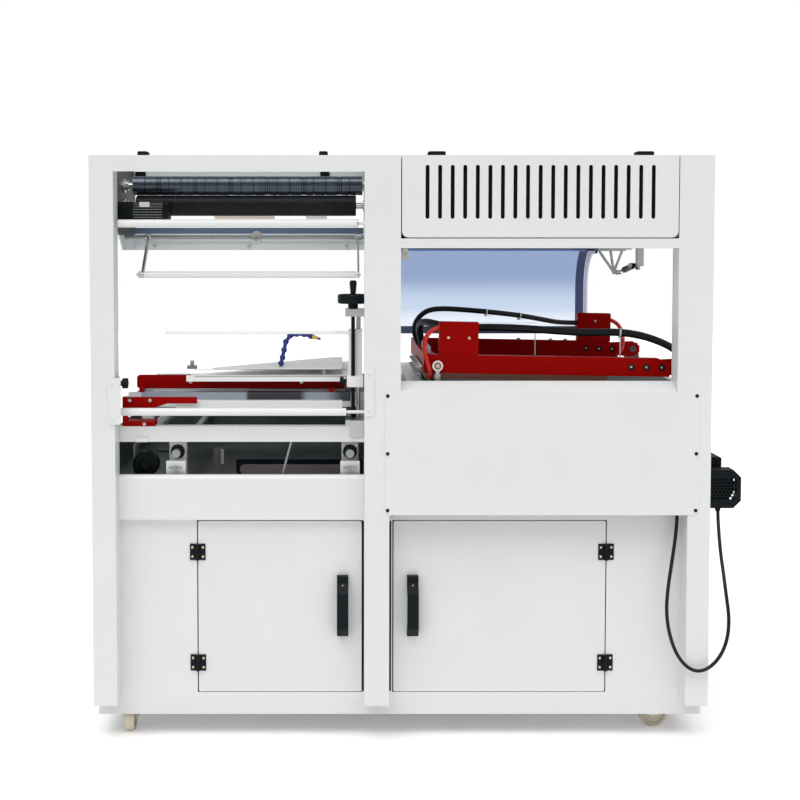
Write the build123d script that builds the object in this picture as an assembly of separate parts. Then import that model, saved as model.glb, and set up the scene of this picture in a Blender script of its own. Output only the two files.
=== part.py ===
from build123d import *
import math
import os

os.makedirs("parts", exist_ok=True)

# Overall sizes, millimetres. X runs with the product flow, the service side faces -Y.
infeed_length = 687.5
sealing_length = 872.5
body_depth = 830.0
deck_top = 900.0
window_height = 364.0
upper_height = 231.0
motor_overhang = 127.0
skirt_clearance = 58.0
sheet = 3.0
running_fit = 0.05
seat_gap = 0.3

body_width = infeed_length + sealing_length
window_beam_bottom = deck_top + window_height
frame_height = window_beam_bottom + upper_height
body_left = -(body_width + motor_overhang) / 2
body_right = body_left + body_width
front_y = -body_depth / 2
back_y = body_depth / 2

# Posts and beams of the near frame.
post_depth = 58.0
post_wall = 3.0
post_foot_chamfer = 12.0
left_post_width = 60.0
middle_post_low_width = 63.0
middle_post_high_width = 91.0
right_post_low_width = 57.0
right_post_high_width = 86.5
post_step_drop = 60.0
top_beam_height = 40.0
window_beam_height = 24.0
sill_lift = 3.0
sill_flat = 8.0
sill_rise = 22.0
cross_beam_height = 40.0
cross_beam_setback = 62.0
cross_beam_depth = 30.0

face_y = front_y + post_depth
middle_post_left = body_left + infeed_length
post_step_z = deck_top - post_step_drop
sill_front_z = deck_top + sill_lift
left_window_left = body_left + left_post_width
left_window_right = middle_post_left
right_window_left = middle_post_left + middle_post_high_width
right_window_right = body_right - right_post_high_width
window_beam_top = window_beam_bottom + window_beam_height
cross_beam_near = front_y + cross_beam_setback

# Castors.
castor_inset = 75.0
castor_wheel = 75.0
castor_tread = 25.0
castor_trail = 30.0
castor_cheek = 3.0
castor_plate = 4.0
castor_axle = 10.0
castor_head = 25.0
cabinet_floor_z = castor_wheel + castor_head
post_foot_z = cabinet_floor_z + 1.0

# Lower cabinet.
cabinet_inset = 1.0
cabinet_back = back_y
tub_drop = 133.0
tub_front_drop = 83.0
tray_depth = 44.0
divider_inset = 46.0
deck_inset = 31.0
lip_depth = 18.0
lip_height = 114.0
lip_step = 8.0
lip_slope = 5.0
lip_wall = 2.0
lip_end = 4.0
cover_inset = 30.0
cover_margin = 60.0
discharge_cheek = 4.0
discharge_pit = 32.0
lift_slot_length = 64.0
lift_slot_width = 30.0
cabinet_left = body_left + cabinet_inset
cabinet_right = body_right - cabinet_inset
tub_wall_z = deck_top - tub_drop
tub_rim_z = tub_wall_z - tub_front_drop
tray_z = tub_rim_z - tray_depth
lip_bottom_z = tub_rim_z - lip_height
cross_beam_bottom = tub_wall_z
divider_x = middle_post_left + divider_inset
deck_left = right_window_left + deck_inset

# Doors.
door_floor_gap = 18.0
door_lip_gap = 7.0
door_thickness = 20.0
door_gap = 2.0
left_door_inset = 259.5
left_door_end = 5.0
right_door_start = 12.0
right_door_inset = 249.5
hinge_top_inset = 80.0
hinge_foot_inset = 76.0
hinge_leaf = 19.0
hinge_height = 42.0
hinge_plate = 2.5
hinge_knuckle = 8.0
hinge_pin = 4.0
handle_inset = 50.0
handle_drop = 218.0
handle_length = 156.0
handle_width = 29.0
handle_stand = 36.0
lock_diameter = 18.0
lock_depth = 16.0
lock_lift = 52.0

door_bottom = cabinet_floor_z + door_floor_gap
door_top = lip_bottom_z - door_lip_gap
left_door_left = body_left + left_door_inset
left_door_right = middle_post_left - left_door_end
right_door_left = middle_post_left + middle_post_low_width + right_door_start
right_door_right = body_right - right_door_inset
hinge_high = door_top - hinge_top_inset
hinge_low = door_bottom + hinge_foot_inset
handle_z = door_top - handle_drop

# Upper cabinet, slotted panel and cover.
upper_depth = 600.0
slot_pitch = 31.3
slot_margin = 60.0
slot_width = 10.0
slot_length = 134.0
slot_drop = 91.0
panel_corner = 16.0
vent_margin = 2.5
cover_left_inset = 51.5
cover_right_lap = 56.0
cover_height = 312.0
cover_sheet = 2.0
cover_hole = 5.2
top_hinge_rise = 11.0
screen_width = 160.0
screen_height = 100.0
screen_lift = 42.0
screen_inset = 210.0
screen_depth = 8.0
estop_inset = 110.0
estop_lift = 92.0
estop_stem = 10.0

slot_centre_z = frame_height - slot_drop
cover_left = middle_post_left + cover_left_inset
cover_right = right_window_right + cover_right_lap
cover_bottom = sill_front_z - cover_height
estop_x = right_window_right - estop_inset
estop_z = window_beam_top + estop_lift

# Film tower.
tower_depth = 340.0
tower_plate = 4.0
tower_height = 236.0
rail_height = 24.0
rail_depth = 20.0
roller_y = front_y + 170.0
perforating_drop = 67.0
perforating_diameter = 50.0
groove_depth = 1.6
groove_width = 2.0
ring_pitch = 31.5
feed_diameter = 54.0
shaft_diameter = 16.0
upper_guide_y = front_y + 30.0
upper_guide_drop = 169.0
guide_diameter = 20.0
spindle_diameter = 8.0
needle_y = front_y + 180.0
needle_drop = 202.0
needle_clamp_inset = 285.0
needle_rod = 10.0
dancer_y = front_y + 78.0
dancer_drop = 299.0
dancer_diameter = 17.0
dancer_left_inset = 63.5
dancer_right_inset = 20.0
dancer_arm = 5.0
motor_body = 52.0
motor_body_length = 92.0
gearbox_side = 60.0
gearbox_length = 38.0

tower_left = left_window_left - post_wall - tower_plate
tower_right = middle_post_left + post_wall
tower_bottom = frame_height - tower_height
perforating_z = frame_height - perforating_drop
upper_guide_z = frame_height - upper_guide_drop
needle_z = frame_height - needle_drop
needle_clamp_x = tower_right - needle_clamp_inset
dancer_z = frame_height - dancer_drop
dancer_left = tower_left + dancer_left_inset
dancer_right = tower_right - dancer_right_inset

# Height column at the middle post.
column_x = middle_post_left - 28.0
column_y = front_y + 104.0
column_top = dancer_z - 89.0
guide_shaft_x = column_x + 14.0
guide_shaft_y = front_y + 124.0
guide_shaft_diameter = 12.0
lead_screw = 10.0
block_height = 19.0
handwheel_diameter = 80.0
handwheel_height = 24.0
grip_height = 36.0
grip_diameter = 19.0
grip_offset = 24.0
carriage_low = deck_top + 5.0
carriage_height = 28.0
film_rod = 8.0
film_rod_z = column_top - 62.0
film_rod_left = left_window_left + 111.5
fold_left = left_window_left + 143.5
fold_depth = 430.0
fold_plate = 3.0
fold_air = 2.0
fold_rise = 18.0
fold_lip = 13.0

# Infeed.
belt_z = deck_top - 15.0
belt_thickness = 2.5
belt_roller = 40.0
infeed_near = front_y + 150.0
infeed_far = front_y + 640.0
infeed_tail_x = left_window_left + 33.5
infeed_head_x = right_window_left + 5.0
rail_bar_near = front_y + 200.0
rail_bar_low = belt_z + 4.0
rail_bar_height = 36.0
rail_bar_high = rail_bar_low + rail_bar_height
rail_bar_thick = 12.0
rail_bar_left = left_window_left + 21.5
rail_bar_right = column_x - 21.0
rail_leg = 12.0
side_frame_thick = 20.0
side_frame_height = 38.0
side_frame_high = belt_z - 1.0
side_frame_low = side_frame_high - side_frame_height
frame_leg = 30.0
near_bar_left = left_window_left + 143.5
near_bar_right = middle_post_left - 56.0
near_bar_low = deck_top - 52.0
near_bar_height = 23.0
bracket_left = left_window_left + 7.5
bracket_high = belt_z - 3.0
fold_low_z = rail_bar_high + fold_air
fold_high_z = fold_low_z + fold_rise
nozzle_x = column_x - 192.0
nozzle_bead = 16.0
lower_guide_y = front_y + 36.0
lower_guide_z = deck_top - 52.0
cradle_rod = 22.0
cradle_left_x = left_window_left + 142.5
cradle_right_x = middle_post_left - 36.0
cradle_z = tub_wall_z - 33.0
cradle_block = 44.0
adjuster_width = 50.0
knob_plate_width = 31.0
knob_plate_rise = 38.0
knob_plate_drop = 79.0
stop_plate_width = 23.5
stop_plate_rise = 64.0
stop_plate_drop = 58.0

# Sealing station.
jaw_pivot_x = body_right - 26.5
jaw_pivot_z = deck_top + 52.0
jaw_tilt = 1.0
jaw_bar_thick = 25.0
jaw_bar_height = 48.0
jaw_near_y = front_y + 112.0
jaw_far_y = front_y + 700.0
jaw_left = right_window_left + 65.0
jaw_cross_width = 28.0
jaw_bar_right = jaw_pivot_x - 50.0
jaw_wall = 3.0
pivot_stub = 20.0
pivot_arm = 8.0
box_width = 102.0
box_height = 86.0
box_depth = 26.0
near_box_x = jaw_left + 90.0
far_box_x = jaw_bar_right - 77.0
box_sheet = 2.0
seal_width = 20.0
seal_height = 15.0
seal_air = 1.0
lift_rod = 15.0
lift_collar = 20.0
lift_rod_x = jaw_left + 35.0
rod_end_diameter = 28.0
rod_end_thick = 12.0
rod_end_pin = 10.0
lift_rod_low = deck_top - 100.0
discharge_tail_x = jaw_left + 60.0
discharge_head_x = jaw_pivot_x - 28.0
discharge_near = front_y + 165.0
discharge_far = front_y + 675.0
discharge_z = deck_top + 12.0

# Drive motor at the right end.
drive_side = 102.0
drive_near = front_y + 150.0
drive_length = 210.0
drive_z = deck_top - 273.0
drive_corner = 20.0
grille_hole = 7.0
grille_pitch = 9.5

# Hood.
hood_left = right_window_left - 25.0
hood_right = right_window_right - 81.0
hood_hinge_y = front_y + upper_depth + 16.0
hood_top = window_beam_bottom + 14.0
hood_wall = 4.0
hood_far = hood_hinge_y + 174.0
hood_bottom = deck_top + 95.0
hood_radius = 140.0
hood_rim = 30.0
hood_pin = 10.0
spring_anchor_y = hood_hinge_y - 196.0
spring_anchor_z = window_beam_bottom - 49.0
spring_eye_y = hood_hinge_y - 26.0
spring_eye_z = hood_top - 85.0
spring_x = hood_right + 67.0
spring_tube = 18.0
spring_stem = 8.0
spring_eye = 14.0
strut_diameter = 8.0

lead_diameter = 9.0
hose_upper_diameter = 15.0
hose_lower_diameter = 20.0
air_tube_diameter = 12.0


def slab(xs, ys, zs):
    """Block between two limits along each axis."""
    size = [high - low for low, high in (xs, ys, zs)]
    middle = [(low + high) / 2 for low, high in (xs, ys, zs)]
    return Pos(*middle) * Box(*size)


def bar_x(x0, x1, y, z, diameter):
    return Pos((x0 + x1) / 2, y, z) * Rot(0, 90, 0) * Cylinder(diameter / 2, x1 - x0)


def bar_y(y0, y1, x, z, diameter):
    return Pos(x, (y0 + y1) / 2, z) * Rot(90, 0, 0) * Cylinder(diameter / 2, y1 - y0)


def bar_z(z0, z1, x, y, diameter):
    return Pos(x, y, (z0 + z1) / 2) * Cylinder(diameter / 2, z1 - z0)


def rod_between(start, end, diameter):
    """Round rod from one point to another."""
    axis = Vector(*end) - Vector(*start)
    return extrude(Plane(origin=start, z_dir=axis) * Circle(diameter / 2), axis.length)


def window(x0, x1, z0, z1, radius=0.0):
    """Upright rectangle, drawn with x to the right and z up."""
    shape = Rectangle(x1 - x0, z1 - z0)
    if radius:
        shape = RectangleRounded(x1 - x0, z1 - z0, radius)
    return Pos((x0 + x1) / 2, (z0 + z1) / 2) * shape


def upright(sketch, near, thickness):
    """Plate that faces the service side, from y = near to near + thickness."""
    return Pos(0, near + thickness, 0) * extrude(Plane.XZ * sketch, thickness)


def sideways(sketch, left, thickness):
    """Plate that faces the ends; its sketch has y to the right and z up."""
    return Pos(left, 0, 0) * extrude(Plane.YZ * sketch, thickness)


def save(node, *shapes):
    solids = [solid for shape in shapes for solid in shape.solids()]
    body = solids[0] if len(solids) == 1 else Compound(children=solids)
    export_step(body, f"parts/{node}.step")
    print(node, len(solids), round(body.volume))


def channel(x0, x1, z0, z1):
    """Folded post, open at the back, with the foot of its inner edges cut off."""
    outer = slab((x0, x1), (front_y, face_y), (z0, z1))
    inner = slab((x0 + post_wall, x1 - post_wall), (front_y + post_wall, face_y + 1), (z0 - 1, z1 - post_wall))
    return outer - inner


def foot_cut(x0, x1):
    """Slanted end of a post's flanges, behind its face."""
    wedge = make_face(Polyline((face_y, post_foot_z), (face_y, post_foot_z + 2 * post_foot_chamfer),
                               (face_y - 2 * post_foot_chamfer, post_foot_z), close=True))
    return sideways(wedge, x0 - 1, x1 - x0 + 2)


def near_frame():
    """Three posts, the beams between them and the sloping sill under the window."""
    right_low = body_right - right_post_low_width
    lower_right = middle_post_left + middle_post_low_width
    posts = channel(body_left, left_window_left, post_foot_z, frame_height)
    posts += channel(middle_post_left, lower_right, post_foot_z, post_step_z + post_wall)
    posts += channel(middle_post_left, right_window_left, post_step_z, frame_height)
    posts += channel(right_low, body_right, post_foot_z, post_step_z + post_wall)
    posts += channel(right_window_right, body_right, post_step_z, frame_height)
    for x0, x1 in ((body_left, left_window_left), (middle_post_left, lower_right), (right_low, body_right)):
        posts -= foot_cut(x0, x1)
    top = slab((left_window_left, left_window_right), (front_y, face_y),
               (frame_height - top_beam_height, frame_height))
    top -= slab((left_window_left - 1, left_window_right + 1), (front_y + post_wall, face_y + 1),
                (frame_height - top_beam_height - 1, frame_height - post_wall))
    beam = slab((right_window_left, right_window_right), (front_y, face_y), (window_beam_bottom, window_beam_top))
    slope = make_face(Polyline((front_y, sill_front_z - sill_rise), (front_y, sill_front_z),
                               (face_y - sill_flat, sill_front_z + sill_rise), (face_y, sill_front_z + sill_rise),
                               (face_y, sill_front_z - sill_rise), close=True))
    sill = sideways(slope, right_window_left, right_window_right - right_window_left)
    body = posts + top + beam + sill
    for y, z in ((upper_guide_y, upper_guide_z), (lower_guide_y, lower_guide_z)):
        body -= bar_x(left_window_left - post_wall - 1, left_window_right + post_wall + 1, y, z,
                      spindle_diameter + 2 * running_fit)
    save("frame", body)


def door_surround(x0, x1, z1, door_left, door_right):
    """Four strips round a door opening: rails along its bottom and top, stiles at its sides."""
    low, high = door_bottom - door_gap, door_top + door_gap
    left, right = door_left - door_gap, door_right + door_gap
    return [window(x0, x1, cabinet_floor_z + sheet, low), window(x0, x1, high, z1),
            window(x0, left, low, high), window(right, x1, low, high)]


def cabinet_fronts():
    """Front sheets of the lower cabinet: strips round each door opening, and one behind the big cover."""
    outlines = [
        *door_surround(cabinet_left + sheet, divider_x, tub_rim_z, left_door_left, left_door_right),
        *door_surround(divider_x, cabinet_right - sheet, tub_wall_z, right_door_left, right_door_right),
        window(deck_left, cabinet_right - sheet, tub_wall_z, deck_top - sheet),
    ]
    return [upright(outline, face_y, sheet) for outline in outlines]


def cabinet_deck():
    """Deck under the jaws, with the pit of the discharge belt and a slot for each lift rod."""
    deck = slab((deck_left, cabinet_right - sheet), (face_y, cabinet_back), (deck_top - sheet, deck_top))
    deck -= slab((discharge_tail_x - discharge_pit, discharge_head_x + discharge_pit),
                 (discharge_near - 2 * discharge_cheek, discharge_far + 2 * discharge_cheek),
                 (deck_top - sheet - 1, deck_top + 1))
    for rod_y in (lift_near_y, lift_far_y):
        slot = RectangleRounded(lift_slot_length, lift_slot_width, lift_slot_width / 2 - 1)
        deck -= Pos(lift_rod_x - 4, rod_y, deck_top - 2 * sheet) * extrude(slot, 4 * sheet)
    return deck


def trough():
    """Hollow folded panel under the tub's front edge, sloped along its top."""
    lip_near = face_y - lip_depth
    lip = make_face(Polyline((face_y, lip_bottom_z), (lip_near, lip_bottom_z), (lip_near, tub_rim_z - lip_step),
                             (lip_near + lip_slope, tub_rim_z), (face_y, tub_rim_z), close=True))
    panel = sideways(lip, left_window_left + seat_gap, middle_post_left - left_window_left - 2 * seat_gap)
    core = slab((left_window_left + lip_end, middle_post_left - lip_end), (lip_near + lip_wall, face_y + 1),
                (lip_bottom_z + lip_wall, tub_rim_z - lip_step - 2 * lip_wall))
    return panel - core


def lower_cabinet():
    """Cabinet of bolted sheets: a tub under the infeed, and a closed half under the jaws."""
    inner_y = (face_y + sheet, cabinet_back - sheet)
    floor_z = cabinet_floor_z + sheet
    back_y0 = cabinet_back - sheet
    sheets = [
        slab((cabinet_left, cabinet_right), (face_y, cabinet_back), (cabinet_floor_z, floor_z)),
        slab((cabinet_left, cabinet_left + sheet), (face_y, cabinet_back), (floor_z, tub_wall_z)),
        slab((cabinet_right - sheet, cabinet_right), (face_y, cabinet_back), (floor_z, deck_top)),
        upright(window(cabinet_left + sheet, cabinet_right - sheet, floor_z, tub_wall_z), back_y0, sheet),
        upright(window(deck_left, cabinet_right - sheet, tub_wall_z, deck_top - sheet), back_y0, sheet),
        slab((cabinet_left + sheet, divider_x), inner_y, (tray_z - sheet, tray_z)),
        slab((divider_x, divider_x + sheet), inner_y, (floor_z, tub_wall_z)),
        slab((divider_x + sheet, deck_left), inner_y, (tub_wall_z - sheet, tub_wall_z)),
        slab((deck_left, deck_left + sheet), inner_y, (tub_wall_z - sheet, deck_top - sheet)),
    ]
    save("cabinet", *sheets, *cabinet_fronts(), cabinet_deck(), *discharge_cheeks(), trough())


def skirt():
    """Ring of folded sheet under the floor, round the castors."""
    height = (skirt_clearance, cabinet_floor_z)
    ring = slab((cabinet_left, cabinet_right), (face_y, cabinet_back), height)
    ring -= slab((cabinet_left + sheet, cabinet_right - sheet), (face_y + sheet, cabinet_back - sheet),
                 (skirt_clearance - 1, cabinet_floor_z + 1))
    save("skirt", ring)


def operator_cover():
    """Flat cover on the far side of the closed half."""
    plate = window(divider_x + cover_inset, cabinet_right - cover_inset, cabinet_floor_z + cover_margin,
                   deck_top - cover_margin, panel_corner)
    return upright(plate, cabinet_back, sheet)


def upper_cabinet():
    """Open-fronted housing above the jaws, closed by the slotted panel."""
    near = face_y
    far = front_y + upper_depth
    shell = slab((right_window_left - 30, body_right), (near, far), (window_beam_bottom, frame_height))
    shell -= slab((right_window_left - 30 + sheet, body_right - sheet), (near - 1, far - sheet),
                  (window_beam_bottom + sheet, frame_height - sheet))
    inner_x = (right_window_left + vent_margin, right_window_right - vent_margin)
    for x0 in (inner_x[0], inner_x[1] - sheet):
        shell += slab((x0, x0 + sheet), (front_y + sheet, near),
                      (window_beam_top + panel_corner + vent_margin, frame_height))
    shell += slab(inner_x, (front_y + sheet, near + sheet), (frame_height - sheet, frame_height))
    screen_right = right_window_right - screen_inset
    screen_low = window_beam_top + screen_lift
    screen = upright(window(screen_right - screen_width, screen_right, screen_low, screen_low + screen_height, 6),
                     far, screen_depth)
    button_bore = bar_y(far - sheet - 1, far + screen_depth + 1, estop_x, estop_z, estop_stem + 2 * running_fit)
    button_boss = bar_y(far, far + screen_depth, estop_x, estop_z, 34) - button_bore
    shell -= button_bore
    save("upper_cabinet", shell + screen + button_boss)


def vent_panel():
    """Panel with a row of upright slots."""
    width = right_window_right - right_window_left
    outline = window(right_window_left + vent_margin, right_window_right - vent_margin,
                     window_beam_top + vent_margin, frame_height, panel_corner)
    outline += window(right_window_left + vent_margin, right_window_right - vent_margin,
                      frame_height - 2 * panel_corner, frame_height)
    middle = right_window_left + width / 2
    pitches = int((width - 2 * slot_margin) / slot_pitch)
    first = middle - pitches / 2 * slot_pitch
    for index in range(pitches + 1):
        slot = Pos(first + index * slot_pitch, slot_centre_z) * Rot(0, 0, 90) * SlotOverall(slot_length, slot_width)
        outline -= slot
    save("vent_panel", upright(outline, front_y, sheet))


def cover_panels():
    """Bolted covers: the large one below the window, with rounded lower corners, and the flat far one."""
    outline = window(cover_left, cover_right, cover_bottom, sill_front_z, panel_corner)
    outline += window(cover_left, cover_right, sill_front_z - 2 * panel_corner, sill_front_z)
    for x in (cover_left + 7, cover_right - 7):
        for z in (cover_bottom + 12, (cover_bottom + sill_front_z) / 2, sill_front_z - 10):
            outline -= Pos(x, z) * Circle(cover_hole / 2)
    save("cover_panels", upright(outline, front_y - cover_sheet, cover_sheet), operator_cover())


def door_pan(x0, x1):
    pan = upright(window(x0, x1, door_bottom, door_top, 4), face_y - 1, door_thickness)
    pocket = window(x0 + sheet, x1 - sheet, door_bottom + sheet, door_top - sheet)
    return pan - upright(pocket, face_y - 1 + sheet, door_thickness)


def knuckle_bore():
    return hinge_pin + 2 * running_fit


def hinge_leaves(axis_x, side, moving):
    """Two leaves of one side; the moving pair has the middle knuckle, the fixed pair the outer ones."""
    solids = []
    plate_y = (face_y - 1 - hinge_plate, face_y - 1) if moving else (face_y - hinge_plate, face_y)
    for z in (hinge_low, hinge_high):
        low, high = z - hinge_height / 2, z + hinge_height / 2
        near_edge, far_edge = sorted((axis_x + side * 2.5, axis_x + side * (hinge_leaf + 1)))
        leaf = slab((near_edge, far_edge), plate_y, (low, high))
        third = hinge_height / 3
        bridge = slab(sorted((axis_x, axis_x + side * 5)), (hinge_axis_y - 1.2, face_y - 1.2), (low, high))
        middle = (low + third + 0.2, high - third - 0.2)
        spans = [middle] if moving else [(low, low + third), (high - third, high)]
        for z0, z1 in spans:
            leaf += bar_z(z0, z1, axis_x, hinge_axis_y, hinge_knuckle)
            leaf += bridge & slab((axis_x - 30, axis_x + 30), (face_y - 30, face_y), (z0, z1))
        gaps = [(low - 1, middle[0]), (middle[1], high + 1)] if moving else [(low + third, high - third)]
        for z0, z1 in gaps:
            leaf -= bar_z(z0, z1, axis_x, hinge_axis_y, hinge_knuckle + 1)
        leaf -= bar_z(low - 1, high + 1, axis_x, hinge_axis_y, knuckle_bore())
        solids += leaf.solids()
        if not moving:
            solids.append(bar_z(low, high, axis_x, hinge_axis_y, hinge_pin).solid())
    return solids


def door_handle(x):
    """Moulded pull: two feet, an arched grip and a collar round the lock."""
    low, high = handle_z - handle_length / 2, handle_z + handle_length / 2
    base_y = face_y - 1
    side = make_face(Polyline((base_y, low), (base_y - 14, low), (base_y - handle_stand, low + 26),
                              (base_y - handle_stand, high - 42), (base_y - lock_depth, high - 22),
                              (base_y - lock_depth, high), (base_y, high), (base_y, high - 42),
                              (base_y - 22, high - 52), (base_y - 22, low + 34), (base_y, low + 20), close=True))
    body = sideways(side, x - handle_width / 2, handle_width)
    body = fillet(body.edges().filter_by(Axis.X).group_by(Axis.Y)[0], 8)
    body -= bar_y(base_y - lock_depth - 1, base_y + 1, x, handle_z + lock_lift, lock_diameter + 2 * running_fit)
    return body


def lock_cylinder(x):
    near = face_y - 1 - lock_depth - 1
    barrel = bar_y(near, face_y - 1, x, handle_z + lock_lift, lock_diameter)
    return barrel - slab((x - 1, x + 1), (near - 1, near + 3), (handle_z + lock_lift - 5, handle_z + lock_lift + 5))


def doors():
    left_axis, right_axis = left_door_left, right_door_right
    for name, x0, x1, axis, side in (("left", left_door_left, left_door_right, left_axis, 1),
                                     ("right", right_door_left, right_door_right, right_axis, -1)):
        free_edge = x1 if side > 0 else x0
        grip_x = free_edge - side * handle_inset
        save(f"{name}_door", door_pan(x0 + 1, x1 - 1))
        save(f"{name}_door_fittings", door_handle(grip_x), *hinge_leaves(axis, side, True))
        save(f"{name}_lock", lock_cylinder(grip_x))
    top_pads = []
    for x, width in ((left_window_left + 72.5, 26), (middle_post_left - 103, 22), (right_window_left + 90, 44),
                     (right_window_right - 84, 44)):
        pad = slab((x - width / 2, x + width / 2), (front_y + 14, front_y + 44),
                   (frame_height, frame_height + top_hinge_rise))
        top_pads.append(fillet(pad.edges().filter_by(Axis.Y).group_by(Axis.Z)[-1], 4))
    save("hinge_leaves", *hinge_leaves(left_axis, -1, False), *hinge_leaves(right_axis, 1, False), *top_pads)


def castor_fork(swivel_x, swivel_y, angle, top_z):
    """Pressed fork with a swivel head, drawn with its trail towards -X and turned by angle."""
    cheek = make_face(Polyline((-castor_trail - 12, castor_wheel / 2 - 6), (-castor_trail + 12, castor_wheel / 2 - 6),
                               (16, top_z - 16), (16, top_z - 11), (-castor_trail - 8, top_z - 11), close=True))
    half = castor_tread / 2 + 1.5
    cheeks = upright(cheek, -half - castor_cheek, castor_cheek) + upright(cheek, half, castor_cheek)
    crown = slab((-castor_trail - 8, 16), (-half - castor_cheek, half + castor_cheek), (top_z - 14, top_z - 11))
    head = Pos(0, 0, top_z - 11 + 4) * Cylinder(19, 8)
    stem = Pos(0, 0, top_z - 11 + 6) * Cylinder(6, 10)
    axle = Pos(-castor_trail, 0, castor_wheel / 2) * Rot(90, 0, 0) * Cylinder(
        castor_axle / 2, 2 * (half + castor_cheek + 3))
    fork = cheeks + crown + head + stem + axle
    return Pos(swivel_x, swivel_y, 0) * Rot(0, 0, angle) * fork


def castor_tyre(swivel_x, swivel_y, angle):
    """Wheel turned from its cross-section: crowned tread, dished web and hub."""
    radius, half = castor_wheel / 2, castor_tread / 2
    section = make_face(Polyline((castor_axle / 2 + running_fit, -half), (14, -half), (16, -half + 4),
                                 (radius - 10, -half + 4), (radius - 8, -half), (radius - 3, -half),
                                 (radius, -half + 5), (radius, half - 5), (radius - 3, half), (radius - 8, half),
                                 (radius - 10, half - 4), (16, half - 4), (14, half),
                                 (castor_axle / 2 + running_fit, half), close=True))
    wheel = revolve(Plane.XZ * section, Axis.Z)
    wheel = Rot(90, 0, 0) * wheel
    return Pos(swivel_x, swivel_y, 0) * Rot(0, 0, angle) * Pos(-castor_trail, 0, castor_wheel / 2) * wheel


def castor_places():
    """Swivel axes of the four castors and how each stands in the photograph."""
    left, right = cabinet_left + castor_inset, cabinet_right - castor_inset
    near, far = face_y + castor_inset, cabinet_back - castor_inset
    return {"near_left": (left, near, 90), "near_right": (right, near, 0),
            "far_left": (left + castor_trail, far, 0), "far_right": (right, far, 0)}


def castors():
    fixed = []
    for name, (x, y, angle) in castor_places().items():
        save(f"{name}_wheel", castor_tyre(x, y, angle))
        fork = castor_fork(x, y, angle, cabinet_floor_z)
        plate = slab((x - 32, x + 32), (y - 28, y + 28), (cabinet_floor_z - castor_plate, cabinet_floor_z))
        bore = bar_z(cabinet_floor_z - castor_plate - 1, cabinet_floor_z + 1, x, y, 12 + 2 * running_fit)
        if name.startswith("near"):
            fork -= slab((x - 40, x + 40), (y - 40, y + 40), (cabinet_floor_z - castor_plate, cabinet_floor_z + 20))
            fork += bar_z(cabinet_floor_z - castor_plate - 2, cabinet_floor_z - running_fit, x, y, 12)
            save(f"{name}_fork", fork)
            fixed.append(plate - bore)
        else:
            fork -= slab((x - 40, x + 40), (y - 40, y + 40), (cabinet_floor_z, cabinet_floor_z + 20))
            fixed.append(fork + plate)
    save("castor_plates", *fixed)


def tower_frame():
    """Two side plates and two far rails that carry the film rollers."""
    near, far = face_y, front_y + tower_depth
    bores = []
    for y, z, size in ((roller_y, perforating_z, shaft_diameter), (roller_y, feed_z, shaft_diameter)):
        bores.append(bar_x(tower_left - 20, tower_right + 40, y, z, size + 2 * running_fit))
    outline = make_face(Polyline((near, upper_guide_z - 12), (near, frame_height), (far, frame_height),
                                 (far, tower_bottom), (needle_y - 24, tower_bottom), (near + 40, upper_guide_z - 24),
                                 close=True))
    plates = [sideways(outline, x, tower_plate) for x in (tower_left, tower_right)]
    for x in (tower_left, tower_right):
        nose_y = (upper_guide_y - 12, near)
        nose = slab((x, x + tower_plate), nose_y, (upper_guide_z - 12, upper_guide_z + 12))
        plates.append(nose)
    rails = []
    for z in (tower_bottom, frame_height - 44):
        rails.append(slab((tower_left, tower_right + tower_plate), (far - rail_depth, far), (z, z + rail_height)))
    body = plates[0] + plates[1] + plates[2] + plates[3] + rails[0] + rails[1]
    for bore in bores:
        body -= bore
    body -= bar_x(tower_left - 20, tower_right + 40, upper_guide_y, upper_guide_z, spindle_diameter + 2 * running_fit)
    body -= bar_x(tower_left - 20, tower_right + 40, needle_y, needle_z, needle_rod)
    return body


def perforating_roller():
    """Turned roller with broad bands, and a group of narrow rings after every second band."""
    left, right = tower_left + tower_plate + 26, tower_right - 6
    roller = bar_x(left, right, roller_y, perforating_z, perforating_diameter)
    ring = bar_x(0, groove_width, roller_y, perforating_z, perforating_diameter + 2)
    ring -= bar_x(-1, groove_width + 1, roller_y, perforating_z, perforating_diameter - 2 * groove_depth)
    places = []
    start = left + ring_pitch
    while start < right - 10:
        places.append(start)
        start += ring_pitch
    for index, place in enumerate(places):
        offsets = (0, 5, 10) if index % 3 == 1 else (0,)
        for offset in offsets:
            if place + offset < right - 4:
                roller -= Pos(place + offset, 0, 0) * ring
    shaft = bar_x(tower_left, tower_right + tower_plate, roller_y, perforating_z, shaft_diameter)
    save("perforating_roller", roller + shaft)


def film_rollers():
    left, right = tower_left + tower_plate + 34, tower_right - 23
    roller = bar_x(left, right, roller_y, feed_z, feed_diameter)
    roller = chamfer(roller.edges().filter_by(GeomType.CIRCLE), 2)
    shaft = bar_x(tower_left, tower_right + tower_plate, roller_y, feed_z, shaft_diameter)
    save("feed_roller", roller + shaft)
    body = bar_x(tower_left + 14, tower_right - 22, upper_guide_y, upper_guide_z, guide_diameter)
    spindle = bar_x(tower_left, tower_right + tower_plate, upper_guide_y, upper_guide_z, spindle_diameter)
    save("upper_guide_roller", body + spindle)
    low = bar_x(left_window_left + 8, middle_post_left - 46, lower_guide_y, lower_guide_z, guide_diameter)
    pin = bar_x(left_window_left - post_wall, middle_post_left + post_wall, lower_guide_y, lower_guide_z,
                spindle_diameter)
    save("lower_guide_roller", low + pin)


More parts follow.
